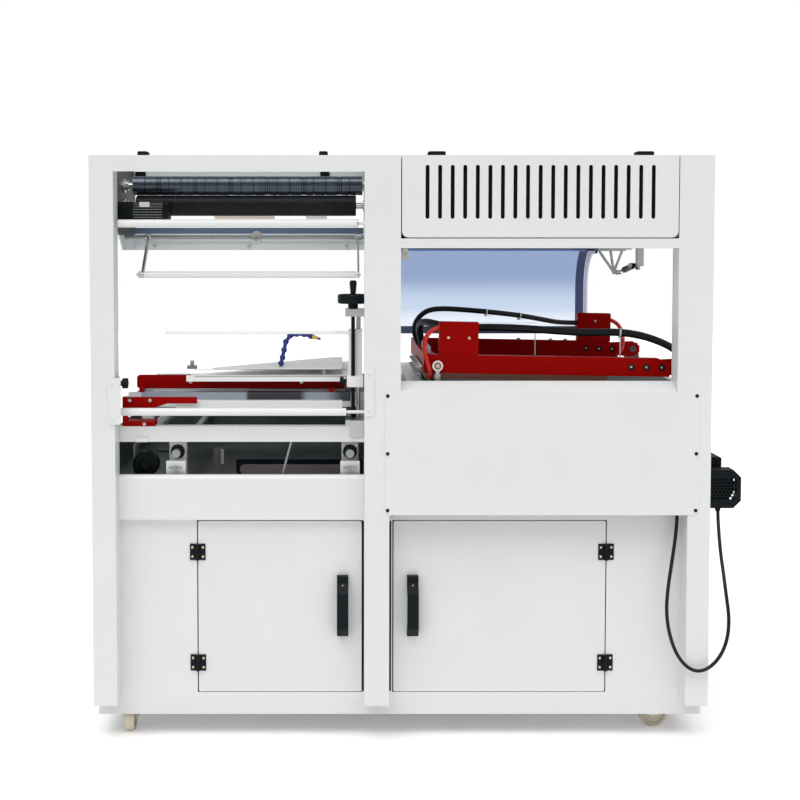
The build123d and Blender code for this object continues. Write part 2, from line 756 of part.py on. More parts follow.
def film_motor():
    """Gear motor of the feed roller, on the left side plate: gearbox, finned body and end cap."""
    x0 = tower_left + tower_plate
    z = upper_guide_z + 30
    y = front_y + 100.0
    half = gearbox_side / 2
    gearbox = slab((x0, x0 + gearbox_length), (y - half, y + half), (z - half - 4, z + half - 4))
    gearbox = fillet(gearbox.edges().filter_by(Axis.X), 4)
    body_end = x0 + gearbox_length + motor_body_length
    body = bar_x(x0 + gearbox_length, body_end, y, z, motor_body)
    for index in range(5):
        x = x0 + gearbox_length + 12 + index * 12
        fin = bar_x(x, x + 4, y, z, motor_body + 1) - bar_x(x - 1, x + 5, y, z, motor_body - 4)
        body -= fin
    cap = bar_x(body_end - 14, body_end, y, z, motor_body + 3)
    foot = slab((x0, body_end - 16), (y - 18, y + 18), (z - motor_body / 2 - 8, z - motor_body / 2 + 6))
    save("film_motor", gearbox + body + cap + foot)


def dancer():
    """Two bent arms hung on the needle rod, with the dancer roller between their ends."""
    arms = []
    for x in (dancer_left, dancer_right):
        run_y, run_z = dancer_y - needle_y, dancer_z - needle_z
        length = math.hypot(run_y, run_z)
        tilt = math.degrees(math.atan2(run_z, run_y))
        link = SlotCenterToCenter(length, 16)
        link = Pos((needle_y + dancer_y) / 2, (needle_z + dancer_z) / 2) * Rot(0, 0, tilt) * link
        arm = sideways(link, x, dancer_arm)
        arm += bar_x(x - 5, x + dancer_arm + 5, needle_y, needle_z, 18)
        arm -= bar_x(x - 10, x + dancer_arm + 10, needle_y, needle_z, needle_rod + 2 * running_fit)
        arm -= bar_x(x - 10, x + dancer_arm + 10, dancer_y, dancer_z, spindle_diameter + 2 * running_fit)
        arms.append(arm)
    save("dancer_arms", *arms)
    roller = bar_x(dancer_left + dancer_arm + 2, dancer_right - 2, dancer_y, dancer_z, dancer_diameter)
    roller += bar_x(dancer_left - 3, dancer_right + dancer_arm + 3, dancer_y, dancer_z, spindle_diameter)
    save("dancer_roller", roller)


def wing_nut(x, near, z):
    """Wing nut with its axis along Y: a hub and two raised wings."""
    nut = bar_y(near - 10, near, x, z, 12)
    for side in (-1, 1):
        wing = make_face(Polyline((x + side * 3, z - 3), (x + side * 17, z - 1), (x + side * 18, z + 4),
                                  (x + side * 14, z + 5), (x + side * 3, z + 3), close=True))
        nut += upright(wing, near - 9, 3)
    return nut


def guide_rods():
    """Rod of the film needle with its clamp, and the two cross rods in the tub with their wing nuts."""
    needle = bar_x(tower_left, tower_right + tower_plate, needle_y, needle_z, needle_rod)
    clamp = slab((needle_clamp_x - 12, needle_clamp_x + 12), (needle_y - 12, needle_y + 12),
                 (needle_z - 14, needle_z + 12))
    clamp = fillet(clamp.edges().filter_by(Axis.X), 5)
    thumb = bar_y(needle_y - 34, needle_y - 12, needle_clamp_x, needle_z - 4, 8)
    needle = needle + clamp + thumb + wing_nut(needle_clamp_x, needle_y - 30, needle_z - 4)
    rods = []
    for x in (cradle_left_x, cradle_right_x):
        rod = bar_y(adjuster_y + sheet, cabinet_back - sheet, x, cradle_z, cradle_rod)
        bolt = bar_y(adjuster_y - 12, adjuster_y, x, tub_rim_z + 14, 7)
        rods += [rod, bolt + wing_nut(x, adjuster_y - 1, tub_rim_z + 14)]
    save("guide_rods", needle, *rods)


def post_plates():
    """Bolted plates: two on the posts, and a slotted adjuster with its block at each cross rod."""
    knob_plate = window(left_window_left - knob_plate_width / 2, left_window_left + knob_plate_width / 2,
                        deck_top - knob_plate_drop, deck_top + knob_plate_rise, 3)
    stop_plate = window(middle_post_left, middle_post_left + stop_plate_width,
                        deck_top - stop_plate_drop, deck_top + stop_plate_rise, 3)
    plates = [upright(knob_plate, front_y - sheet, sheet), upright(stop_plate, front_y - sheet, sheet)]
    plates[0] += slab((knob_plate_x - 2.5, knob_plate_x), (front_y - 1, front_y + 46),
                      (deck_top + 2, deck_top + knob_plate_rise))
    for x in (cradle_left_x, cradle_right_x):
        low = tray_z
        outline = window(x - adjuster_width / 2, x + adjuster_width / 2, low, tub_rim_z + 32)
        outline -= Pos(x, low + 30) * Rot(0, 0, 90) * SlotOverall(26, 8)
        outline -= Pos(x, tub_rim_z + 14) * Circle(4)
        plates.append(upright(outline, adjuster_y, sheet))
        block = slab((x - cradle_block / 2, x + cradle_block / 2), (adjuster_y + 40, adjuster_y + 64),
                     (tray_z, cradle_z + 24))
        plates.append(block - bar_y(adjuster_y, adjuster_y + 90, x, cradle_z, cradle_rod))
    save("post_plates", *plates)


def handwheel():
    """Rimmed wheel with a dished web and hub, and the lead screw that it turns."""
    radius = handwheel_diameter / 2
    low = column_top + 14
    section = make_face(Polyline((0, 0), (radius - 3, 0), (radius, 4), (radius, handwheel_height - 4),
                                 (radius - 3, handwheel_height), (radius - 9, handwheel_height),
                                 (radius - 12, handwheel_height - 7), (14, handwheel_height - 7),
                                 (12, handwheel_height - 2), (0, handwheel_height - 2), close=True))
    wheel = Pos(column_x, column_y, low) * revolve(Plane.XZ * section, Axis.Z)
    hub = bar_z(column_top + 1, low + 2, column_x, column_y, 26)
    grip_hole = bar_z(low + 4, low + handwheel_height + 1, column_x, column_y - grip_offset, 8 + 2 * running_fit)
    screw = bar_z(cross_beam_bottom + cross_beam_height + 1, column_top + 4, column_x, column_y, lead_screw)
    save("handwheel", wheel + hub + screw - grip_hole)
    grip_low = low + handwheel_height + 0.5
    profile = make_face(Polyline((0, 0), (6, 0), (7, 2), (grip_diameter / 2, grip_height - 8),
                                 (grip_diameter / 2 - 1, grip_height - 2), (grip_diameter / 2 - 4, grip_height),
                                 (0, grip_height), close=True))
    grip = Pos(column_x, column_y - grip_offset, grip_low) * revolve(Plane.XZ * profile, Axis.Z)
    save("crank_grip", grip + bar_z(low + 5, grip_low + 1, column_x, column_y - grip_offset, 8))


def height_column():
    """Fixed side of the height adjustment: bearing block on the post, saddle on the beam, guide shaft."""
    beam_top = cross_beam_bottom + cross_beam_height
    arm_y = (column_y - 18, guide_shaft_y + 14)
    top = slab((column_x - 20, middle_post_left + 20), arm_y, (column_top - block_height, column_top))
    top += slab((middle_post_left, middle_post_left + 20), (face_y, column_y - 17),
                (column_top - block_height, column_top))
    base = slab((column_x - 20, middle_post_left + 10), (cross_beam_near, guide_shaft_y + 14),
                (beam_top, beam_top + 16))
    base += slab((column_x - 8, middle_post_left - seat_gap), (cross_beam_near - 6, cross_beam_near),
                 (beam_top - 27, beam_top + 16))
    top = fillet(top.edges().filter_by(Axis.Z).sort_by(Axis.X)[0:2], 6)
    top -= bar_z(beam_top - 40, column_top + 2, column_x, column_y, lead_screw + 2 * running_fit)
    base -= bar_z(beam_top - 40, column_top + 2, column_x, column_y, lead_screw + 2 * running_fit)
    shaft = bar_z(beam_top + 4, column_top - 2, guide_shaft_x, guide_shaft_y, guide_shaft_diameter)
    save("height_column", top + base + shaft)


def folding_carriage():
    """Nut and clamps that ride up the column, with the film rod and the two folding plates."""
    nut = slab((column_x - 16, guide_shaft_x + 12), (column_y - 14, guide_shaft_y + 14),
               (carriage_low, carriage_low + carriage_height))
    collar = slab((column_x - 12, guide_shaft_x + 10), (column_y + 9, guide_shaft_y + 12),
                  (carriage_low + carriage_height - 2, film_rod_z + 8))
    body = nut + collar
    body += bar_x(film_rod_left, guide_shaft_x, guide_shaft_y - 12, film_rod_z, film_rod)
    low = Pos(0, 0, fold_low_z) * extrude(fold_outline(0), fold_plate)
    low += slab((fold_left + 18, column_x - 18), (guide_shaft_y + 18, guide_shaft_y + 20),
                (fold_low_z - fold_lip, fold_low_z + fold_plate))
    high = Pos(0, 0, fold_high_z) * extrude(fold_outline(60), fold_plate)
    spacers = []
    for x, y in ((column_x - 76, guide_shaft_y + 60), (column_x - 76, guide_shaft_y + 300)):
        spacers.append(bar_z(fold_low_z + 1, fold_high_z + 1, x, y, 10))
    arm = slab((column_x - 14, column_x + 2), (guide_shaft_y + 8, guide_shaft_y + 50),
               (fold_low_z - 14, fold_low_z + 1))
    body = body + low + high + spacers[0] + spacers[1] + arm
    body -= bar_z(carriage_low - 1, column_top, column_x, column_y, lead_screw + 2 * running_fit)
    body -= bar_z(carriage_low - 1, column_top, guide_shaft_x, guide_shaft_y, guide_shaft_diameter + 2 * running_fit)
    save("folding_carriage", body)


def fold_outline(inset):
    """Folding plate seen from above: a right-angled triangle with rounded corners."""
    near = guide_shaft_y + 18
    return make_face(FilletPolyline((fold_left + inset, near), (column_x + 2 - inset / 2, near),
                                    (column_x + 2 - inset / 2, near + fold_depth - inset), radius=18, close=True))


def star_knob(diameter, length, lobes):
    """Clamping knob along +X from the origin: lobed head and a short neck."""
    head = Circle(diameter / 2 - 2)
    for index in range(lobes):
        angle = 2 * math.pi * index / lobes
        head += Pos(math.cos(angle) * (diameter / 2 - 4), math.sin(angle) * (diameter / 2 - 4)) * Circle(4)
    body = Pos(length * 0.45, 0, 0) * extrude(Plane.YZ * head, length * 0.55)
    return body + bar_x(0, length / 2, 0, 0, diameter * 0.5)


def knobs():
    left = Pos(knob_plate_x + seat_gap, front_y + 26, deck_top + 22) * star_knob(28, 24, 6)
    save("left_knob", left)
    right = Pos(column_x - 16 - seat_gap, column_y + 2, carriage_low + 14) * Rot(0, 0, 180) * star_knob(24, 18, 6)
    save("column_knob", right)


def belt_loop(tail_x, head_x, centre_z):
    """Side view of a belt round two rollers."""
    run = head_x - tail_x
    loop = SlotCenterToCenter(run, belt_roller + 2 * belt_thickness)
    loop -= SlotCenterToCenter(run, belt_roller + 2 * running_fit)
    return Pos((tail_x + head_x) / 2, centre_z) * loop


def infeed():
    """Belt over two rollers, its side frames, the red guide bars and their corner brackets."""
    radius = belt_roller / 2
    centre_z = belt_z - belt_thickness - radius
    near, far = infeed_near + side_frame_thick, infeed_far - side_frame_thick
    save("infeed_belt", upright(belt_loop(infeed_tail_x, infeed_head_x, centre_z), near + 4, far - near - 8))
    for name, x in (("tail", infeed_tail_x), ("head", infeed_head_x)):
        drum = bar_y(near + 6, far - 6, x, centre_z, belt_roller)
        axle = bar_y(infeed_near + 4, infeed_far - 4, x, centre_z, 12)
        save(f"infeed_{name}_roller", drum + axle)
    frames = []
    for y0 in (infeed_near, infeed_far - side_frame_thick):
        side = slab((infeed_tail_x - 26, infeed_head_x + 22), (y0, y0 + side_frame_thick),
                    (side_frame_low, side_frame_high))
        for x in (infeed_tail_x, infeed_head_x):
            side -= bar_y(infeed_near + 3, infeed_far - 3, x, centre_z, 12 + 2 * running_fit)
        frames.append(side)
        for x in (infeed_tail_x + 10, infeed_head_x - 110):
            leg = slab((x, x + frame_leg), (y0, y0 + side_frame_thick), (cross_beam_bottom, side_frame_low))
            frames[-1] += leg
    cross_ties = []
    for x in (infeed_tail_x + 10, infeed_head_x - 110):
        cross_ties.append(slab((x, x + frame_leg), (face_y, cabinet_back), (tub_wall_z, tub_wall_z + 12)))
    near_bar = slab((near_bar_left, near_bar_right), (front_y + 74, front_y + 98),
                    (near_bar_low, near_bar_low + near_bar_height))
    for x in (near_bar_left + 40, near_bar_right - 118):
        near_bar += slab((x, x + 24), (front_y + 97, infeed_near + 1), (near_bar_low + 4, near_bar_low + 12))
    beam = slab((cabinet_left, divider_x), (cross_beam_near, cross_beam_near + cross_beam_depth),
                (cross_beam_bottom, cross_beam_bottom + cross_beam_height))
    save("infeed_frame", frames[0] + frames[1] + cross_ties[0] + cross_ties[1] + near_bar + beam)
    outline = window(rail_bar_left, rail_bar_right, rail_bar_low, rail_bar_high, 8)
    rails = upright(outline, rail_bar_near, rail_bar_thick)
    for x in (rail_bar_left + 14, rail_bar_right - 41):
        near_frame_y = (infeed_near + 4, infeed_near + side_frame_thick - 4)
        rails += slab((x, x + rail_leg), near_frame_y, (side_frame_high, rail_bar_low + 8))
        rails += slab((x, x + rail_leg), (near_frame_y[0], rail_bar_near + 1), (rail_bar_low, rail_bar_low + 8))
    beam_top = cross_beam_bottom + cross_beam_height
    left = bracket_left
    arm_profile = make_face(Polyline((left, beam_top + 34), (left + 76, beam_top + 46), (left + 116, bracket_high - 16),
                                     (left + 191, bracket_high - 16), (left + 191, bracket_high),
                                     (left, bracket_high), close=True))
    arm = upright(arm_profile, cross_beam_near + 1, 8)
    foot = slab((left, left + 82), (cross_beam_near + 1, cross_beam_near + cross_beam_depth + 20),
                (beam_top, beam_top + 13))
    leg = slab((left, left + 12), (cross_beam_near + 1, cross_beam_near + 24), (beam_top, bracket_high))
    save("infeed_rails", arm + foot + leg, rails)


def air_nozzle():
    """Jointed plastic hose: a string of sockets on a bent line, ending in a tapered tip."""
    route = [(0, fold_plate + nozzle_bead / 2 + seat_gap), (4, 27), (8, 47), (13, 69), (24, 85), (42, 90), (62, 89),
             (80, 84)]
    route = [(nozzle_x + x, fold_high_z + z) for x, z in route]
    y = guide_shaft_y + 76
    body = None
    for x, z in route:
        bead = Pos(x, y, z) * Sphere(nozzle_bead / 2)
        body = bead if body is None else body + bead
    for (x0, z0), (x1, z1) in zip(route, route[1:]):
        length = math.hypot(x1 - x0, z1 - z0)
        pitch = math.degrees(math.atan2(x1 - x0, z1 - z0))
        body += Pos((x0 + x1) / 2, y, (z0 + z1) / 2) * Rot(0, pitch, 0) * Cylinder(5, length)
    tip = Pos(nozzle_x + 94, y, fold_high_z + 80) * Rot(0, 108, 0) * Cone(6, 2.5, 26)
    save("air_nozzle", body + tip)


def jaw_turn(shape):
    """Turns a piece drawn for the closed jaw up to where the jaw stands at rest."""
    return Pos(jaw_pivot_x, 0, jaw_pivot_z) * Rot(0, jaw_tilt, 0) * Pos(-jaw_pivot_x, 0, -jaw_pivot_z) * shape


def jaw():
    """U-shaped frame of two long bars and a cross member, with the two folded terminal boxes."""
    low, high = jaw_low, jaw_low + jaw_bar_height
    outline = make_face(Polyline((jaw_left, low), (jaw_bar_right, low), (jaw_bar_right, high - 14),
                                 (jaw_bar_right - 30, high), (jaw_left, high), close=True))
    frame = None
    for y0 in (jaw_near_y, jaw_far_y):
        bar = upright(outline, y0, jaw_bar_thick)
        bar -= slab((jaw_left + jaw_cross_width + 6, jaw_bar_right - 150),
                    (y0 + jaw_wall, y0 + jaw_bar_thick - jaw_wall), (low - 1, high - jaw_wall))
        for index in range(3):
            x = jaw_bar_right - 20 - index * 40
            bar -= bar_y(y0 - 1, y0 + 9, x, (low + high) / 2, 18)
        arm = make_face(Polyline((jaw_bar_right - 60, low + 6), (jaw_pivot_x, jaw_pivot_z - 24),
                                 (jaw_pivot_x + 22, jaw_pivot_z - 10), (jaw_pivot_x + 22, jaw_pivot_z + 10),
                                 (jaw_pivot_x, jaw_pivot_z + 24), (jaw_bar_right - 60, high - 8), close=True))
        arm_y = y0 + jaw_bar_thick
        bar += upright(arm, arm_y, pivot_arm)
        if y0 == jaw_near_y:
            shelf_x = (jaw_pivot_x - 18, jaw_pivot_x + 18)
            bar += slab(shelf_x, (arm_y, arm_y + 70), (jaw_pivot_z + 26, jaw_pivot_z + 30))
            bar += slab(shelf_x, (arm_y, arm_y + pivot_arm), (jaw_pivot_z, jaw_pivot_z + 30))
        bar -= bar_y(arm_y - 1, arm_y + pivot_arm + 1, jaw_pivot_x, jaw_pivot_z, pivot_stub + 2 * running_fit)
        side = -1 if y0 == jaw_near_y else 1
        wall_y = y0 if side < 0 else y0 + jaw_bar_thick
        eye_y = lift_near_y if side < 0 else lift_far_y
        spacer_y = sorted((wall_y - side, eye_y - side * (rod_end_thick / 2 + seat_gap)))
        pin_y = sorted((wall_y - side, eye_y + side * (rod_end_thick / 2 + 3)))
        bar += bar_y(*spacer_y, lift_rod_x, rod_end_z, rod_end_pin + 6)
        bar += bar_y(*pin_y, lift_rod_x, rod_end_z, rod_end_pin)
        frame = bar if frame is None else frame + bar
    cross = slab((jaw_left, jaw_left + jaw_cross_width), (jaw_near_y, jaw_far_y + jaw_bar_thick), (low, high))
    cross -= slab((jaw_left + jaw_wall, jaw_left + jaw_cross_width - jaw_wall),
                  (jaw_near_y + jaw_wall, jaw_far_y + jaw_bar_thick - jaw_wall), (low - 1, high - jaw_wall))
    boxes = []
    for x, y0 in ((near_box_x, jaw_near_y - 1), (far_box_x, jaw_far_y - 1)):
        box = slab((x - box_width / 2, x + box_width / 2), (y0, y0 + box_depth), (high, high + box_height))
        box = fillet(box.edges().filter_by(Axis.Y).group_by(Axis.Z)[-1], 2)
        box -= slab((x - box_width / 2 + box_sheet, x + box_width / 2 - box_sheet),
                    (y0 + box_sheet, y0 + box_depth - box_sheet), (high + box_sheet, high + box_height - box_sheet))
        boxes.append(jaw_turn(box))
    save("jaw_frame", jaw_turn(frame + cross), *boxes)
    strips = []
    strip_z = (jaw_low - seal_height, jaw_low)
    for y0 in (jaw_near_y, jaw_far_y):
        middle = y0 + jaw_bar_thick / 2
        strips.append(slab((jaw_left + jaw_cross_width, jaw_bar_right - 160),
                           (middle - seal_width / 2, middle + seal_width / 2), strip_z))
    middle = jaw_left + jaw_cross_width / 2
    strips.append(slab((middle - seal_width / 2, middle + seal_width / 2),
                       (jaw_near_y, jaw_far_y + jaw_bar_thick), strip_z))
    save("sealing_bar", *[jaw_turn(strip) for strip in strips])


def jaw_supports():
    """Bearing brackets with stub shafts on the deck, and the lower sealing bars."""
    brackets = []
    for bar_y0 in (jaw_near_y, jaw_far_y):
        y0 = bar_y0 + jaw_bar_thick + pivot_arm + 2
        outline = make_face(Polyline((jaw_pivot_x - 24, deck_top), (jaw_pivot_x + 26, deck_top),
                                     (jaw_pivot_x + 18, jaw_pivot_z + 18), (jaw_pivot_x - 18, jaw_pivot_z + 18),
                                     close=True))
        bracket = upright(outline, y0, 14)
        brackets.append(bracket + bar_y(y0 - pivot_arm - 6, y0 + 2, jaw_pivot_x, jaw_pivot_z, pivot_stub))
    lower = []
    top = jaw_low - seal_height - seal_air
    for y0 in (jaw_near_y, jaw_far_y):
        middle = y0 + jaw_bar_thick / 2
        lower.append(slab((jaw_left + jaw_cross_width, jaw_bar_right - 160),
                          (middle - seal_width / 2, middle + seal_width / 2), (deck_top, top)))
    middle = jaw_left + jaw_cross_width / 2
    lower.append(slab((middle - seal_width / 2, middle + seal_width / 2),
                      (jaw_near_y, jaw_far_y + jaw_bar_thick), (deck_top, top)))
    save("lower_jaw", *brackets, *lower)


def lift_rods():
    """Two rod ends on the jaw's pins, each on the rod that lifts the jaw from below the deck."""
    rods = []
    pin = jaw_point(lift_rod_x, rod_end_z)
    for y in (lift_near_y, lift_far_y):
        eye = bar_y(y - rod_end_thick / 2, y + rod_end_thick / 2, pin[0], pin[1], rod_end_diameter)
        eye += bar_z(lift_rod_low, pin[1] - 8, pin[0], y, lift_rod)
        eye += bar_z(pin[1] - 34, pin[1] - 22, pin[0], y, lift_collar)
        eye -= bar_y(y - rod_end_thick, y + rod_end_thick, pin[0], pin[1], rod_end_pin + 2 * running_fit)
        rods.append(eye)
    save("lift_rods", *rods)


def discharge():
    """Belt between the jaw's bars and its two rollers, carried on side plates under the deck."""
    centre_z = discharge_z - belt_thickness - belt_roller / 2
    loop = belt_loop(discharge_tail_x, discharge_head_x, centre_z)
    save("discharge_belt", upright(loop, discharge_near + 8, discharge_far - discharge_near - 16))
    for name, x in (("tail", discharge_tail_x), ("head", discharge_head_x)):
        drum = bar_y(discharge_near + 10, discharge_far - 10, x, centre_z, belt_roller)
        axle = bar_y(discharge_near - 7, discharge_far + 7, x, centre_z, 12)
        save(f"discharge_{name}_roller", drum + axle)


def discharge_cheeks():
    """Side plates that hang from the deck and hold the discharge rollers."""
    centre_z = discharge_z - belt_thickness - belt_roller / 2
    cheeks = []
    for y0 in (discharge_near - 2 * discharge_cheek, discharge_far + discharge_cheek):
        side = window(discharge_tail_x - discharge_pit + 2, discharge_head_x + discharge_pit - 2, centre_z - 24, deck_top)
        cheek = upright(side, y0, discharge_cheek)
        for x in (discharge_tail_x, discharge_head_x):
            cheek -= bar_y(y0 - 1, y0 + discharge_cheek + 1, x, centre_z, 12 + 2 * running_fit)
        cheeks.append(cheek)
    return cheeks


def drive_motor():
    """Gear motor at the discharge end, with a hexagon-perforated cover over its fan."""
    x = body_right + motor_overhang - drive_side / 2
    low, high = drive_z - drive_side / 2, drive_z + drive_side / 2
    left, right = x - drive_side / 2, x + drive_side / 2
    cut = drive_corner
    outline = make_face(Polyline((left + cut, low), (right - cut, low), (right, low + cut), (right, high - cut),
                                 (right - cut, high), (left + cut, high), (left, high - cut), (left, low + cut),
                                 close=True))
    cover = upright(outline, drive_near, 44)
    cover -= upright(offset(outline, -4), drive_near + 3, 44)
    holes = None
    rows = 6
    for row in range(-rows // 2, rows // 2 + 1):
        for column in range(-4, 5):
            hx = x + (column + (0.5 if row % 2 else 0)) * grille_pitch
            hz = drive_z + row * grille_pitch * 0.87
            if abs(hx - x) < drive_side / 2 - 12 and abs(hz - drive_z) < drive_side / 2 - 14:
                hole = Pos(hx, hz) * Rot(0, 0, 30) * RegularPolygon(grille_hole / 2, 6)
                holes = hole if holes is None else holes + hole
    cover -= upright(holes, drive_near - 1, 6)
    barrel = bar_y(drive_near + 44, drive_near + drive_length, x, drive_z, drive_side - 8)
    fan = bar_y(drive_near + 12, drive_near + 45, x, drive_z, 60)
    box = slab((x - 30, x + 20), (drive_near + 70, drive_near + 150), (high - 8, high + 22))
    mount = slab((body_right, left + 20), (drive_near + 60, drive_near + 190), (drive_z - 36, drive_z + 36))
    save("drive_motor", cover + barrel + fan + fillet(box.edges().filter_by(Axis.Y), 5) + mount)


def hood_profile(inner):
    """Side section of the hood: flat top, rounded shoulder and upright far wall."""
    top = hood_top - inner
    far = hood_far - inner
    radius = hood_radius - inner
    path = Line((hood_hinge_y, top), (far - radius, top))
    path += CenterArc((far - radius, top - radius), radius, 90, -90)
    path += Line((far, top - radius), (far, hood_bottom))
    return path


def hood():
    """Bent tinted shell with end rims, a lower grip and the barrel of its hinge."""
    outer, inner = hood_profile(0), hood_profile(hood_wall)
    rim_inner = hood_profile(hood_rim)
    start, end = (hood_hinge_y, hood_top), (hood_far, hood_bottom)
    skin = make_face(outer + Line((hood_far, hood_bottom), (hood_far - hood_wall, hood_bottom)) + inner
                     + Line((hood_hinge_y, hood_top - hood_wall), start))
    shell = sideways(skin, hood_left, hood_right - hood_left)
    band = make_face(outer + Line(end, (hood_far - hood_rim, hood_bottom)) + rim_inner
                     + Line((hood_hinge_y, hood_top - hood_rim), start))
    rims = [sideways(band, x, 6) for x in (hood_left - 6, hood_right)]
    barrel = bar_x(hood_left - 6, hood_right + 92, hood_hinge_y, hood_top - 12, 20)
    grip = slab((hood_left + 190, hood_right - 149), (hood_far, hood_far + 16), (hood_bottom + 12, hood_bottom + 34))
    grip = fillet(grip.edges().filter_by(Axis.X).group_by(Axis.Y)[-1], 6)
    body = shell + rims[0] + rims[1] + barrel + grip
    body += bar_x(spring_x - 21, spring_x - 5 - seat_gap, spring_eye_y, spring_eye_z, 12)
    hub = (spring_x - 17, spring_eye_y, spring_eye_z)
    for x, y, z in ((hood_right + 3, spring_eye_y + 20, hood_top - 12), (hood_right + 44, hood_hinge_y, hood_top - 12),
                    (hood_right + 84, hood_hinge_y, hood_top - 12)):
        body += rod_between(hub, (x, y, z), strut_diameter)
    body -= bar_x(hood_left - 30, hood_right + 120, hood_hinge_y, hood_top - 12, hood_pin + 2 * running_fit)
    save("hood", body)


def hood_brackets():
    """Hinge rod with its hangers, and the plate that anchors the gas spring."""
    rod = bar_x(hood_left - 30, hood_right + 110, hood_hinge_y, hood_top - 12, hood_pin)
    hangers = []
    for x in (hood_left - 26, hood_right + 98):
        hangers.append(slab((x, x + 8), (front_y + upper_depth, hood_hinge_y + 8), (hood_top - 18, hood_top + 24)))
    body = rod + hangers[0] + hangers[1]
    plate = slab((spring_x + 10, spring_x + 16), (spring_anchor_y - 16, spring_anchor_y + 16),
                 (spring_anchor_z - 12, window_beam_bottom))
    plate += slab((spring_x + 6, spring_x + 26), (spring_anchor_y - 16, spring_anchor_y - 12),
                  (spring_anchor_z - 2, window_beam_bottom))
    plate += bar_x(spring_x - 6, spring_x + 11, spring_anchor_y, spring_anchor_z, 8)
    save("hood_brackets", body, plate)


def gas_spring():
    """Gas spring: closed tube on the bracket's pin, and the stem that slides in it."""
    run_y, run_z = spring_eye_y - spring_anchor_y, spring_eye_z - spring_anchor_z
    length = math.hypot(run_y, run_z)
    tilt = math.degrees(math.atan2(run_z, run_y))
    tube = bar_y(12, length * 0.64, 0, 0, spring_tube) - bar_y(16, length, 0, 0, spring_stem + 2 * running_fit)
    eye = bar_x(-5, 5, 0, 0, spring_eye) + bar_y(4, 14, 0, 0, 9)
    eye -= bar_x(-6, 6, 0, 0, 8 + 2 * running_fit)
    stem = bar_y(20, length - 4, 0, 0, spring_stem)
    far_eye = bar_x(-5, 5, length, 0, spring_eye)
    stem += far_eye
    stem -= bar_x(-6, 6, length, 0, 8 + 2 * running_fit)
    place = Pos(spring_x, spring_anchor_y, spring_anchor_z) * Rot(tilt, 0, 0)
    save("spring_cylinder", place * (tube + eye))
    save("spring_rod", place * stem)


def estop_button():
    far = front_y + upper_depth + screen_depth
    head = Pos(estop_x, far + 14, estop_z) * Rot(-90, 0, 0) * Cylinder(17, 12)
    head = fillet(head.edges().filter_by(GeomType.CIRCLE).sort_by(Axis.Y)[-1], 5)
    stem = bar_y(far - 10, far + 9, estop_x, estop_z, 10)
    save("estop_button", head + stem)


def cord(node, points, diameter):
    """Round cord along straight runs joined by arcs as large as the runs allow."""
    corners = [Vector(*p) for p in points]
    radii = []
    for before, here, after in zip(corners, corners[1:], corners[2:]):
        inward, outward = here - before, after - here
        turn = math.radians(inward.get_angle(outward))
        radii.append(0.45 * min(inward.length, outward.length) / math.tan(turn / 2))
    path = FilletPolyline(*corners, radius=radii)
    start = Plane(origin=corners[0], z_dir=corners[1] - corners[0])
    tube = sweep(start * Circle(diameter / 2), path=path)
    print(node, "radii", [round(r) for r in radii], "tube", round(tube.volume),
          "section x length", round(math.pi * diameter ** 2 / 4 * path.length))
    save(node, tube)


def jaw_point(x, z):
    """Where a point of the closed jaw stands at rest."""
    angle = math.radians(jaw_tilt)
    dx, dz = x - jaw_pivot_x, z - jaw_pivot_z
    return (jaw_pivot_x + dx * math.cos(angle) + dz * math.sin(angle),
            jaw_pivot_z - dx * math.sin(angle) + dz * math.cos(angle))


def hoses():
    """Free hoses on the jaw and the hanging lead of the drive motor; points are chosen by hand."""
    cord("hose_upper", [(8, 30, 987.5), (-4, 27, 1011), (-7, 24, 1037), (2, 21, 1061), (20, 17, 1080), (44, 14, 1090),
                        (80, 12, 1092), (130, 14, 1089), (195, 26, 1083), (262, 56, 1075), (324, 100, 1065),
                        (382, 150, 1053), (432, 202, 1042), (472, 252, 1037), (514, 297, 1034)],
         hose_upper_diameter)
    cord("hose_lower", [(16, -24, 987.5), (8, -31, 1014), (3, -48, 1039), (5, -76, 1056), (17, -110, 1062),
                        (41, -147, 1058), (76, -180, 1052), (120, -204, 1051), (178, -214, 1053),
                        (262, -217, 1051), (350, -216, 1044), (440, -215, 1038), (524, -216, 1041),
                        (590, -217, 1031), (638, -218, 1014), (670, -220, 998), (690, -222, 981)],
         hose_lower_diameter)
    cord("red_tube_near", [(42, -292, 1058), (22, -294, 1052), (6, -298, 1034), (0, -303, 1010), (4, -310, 985),
                           (11, -315, 961), (16, -314, 941), (18, -302, 930)], air_tube_diameter)
    cord("red_tube_far", [(614.5, 297, 1044), (632, 292, 1037), (645, 282, 1020), (650, 269, 998),
                          (649, 262, 974), (644, 261, 953), (637, 270, 940), (634, 285, 938)],
         air_tube_diameter)
    cord("motor_lead", [(790, -240, 577), (789, -246, 552), (786, -262, 526), (780, -290, 498), (772, -330, 466),
                        (767, -370, 428), (766, -397, 380), (769, -413, 330), (764, -422, 282), (748, -427, 240),
                        (722, -429, 208), (690, -430, 194), (660, -428, 204), (634, -423, 236), (616, -416, 288),
                        (610, -409, 346), (616, -403, 406), (627, -396, 468), (638, -388, 534), (643, -381, 588),
                        (642, -371, 628), (640, -356, 648)], lead_diameter)


# Places that follow from the sizes above.
feed_z = perforating_z - perforating_diameter / 2 - seat_gap - feed_diameter / 2
jaw_low = jaw_pivot_z - jaw_bar_height / 2
hinge_axis_y = face_y - hinge_plate - hinge_knuckle / 2
adjuster_y = face_y + 14.0
rod_end_z = jaw_pivot_z - 4.0
knob_plate_x = left_window_left + 4.5
lift_near_y = jaw_near_y - lift_collar / 2 - 1
lift_far_y = jaw_far_y + jaw_bar_thick + lift_collar / 2 + 1

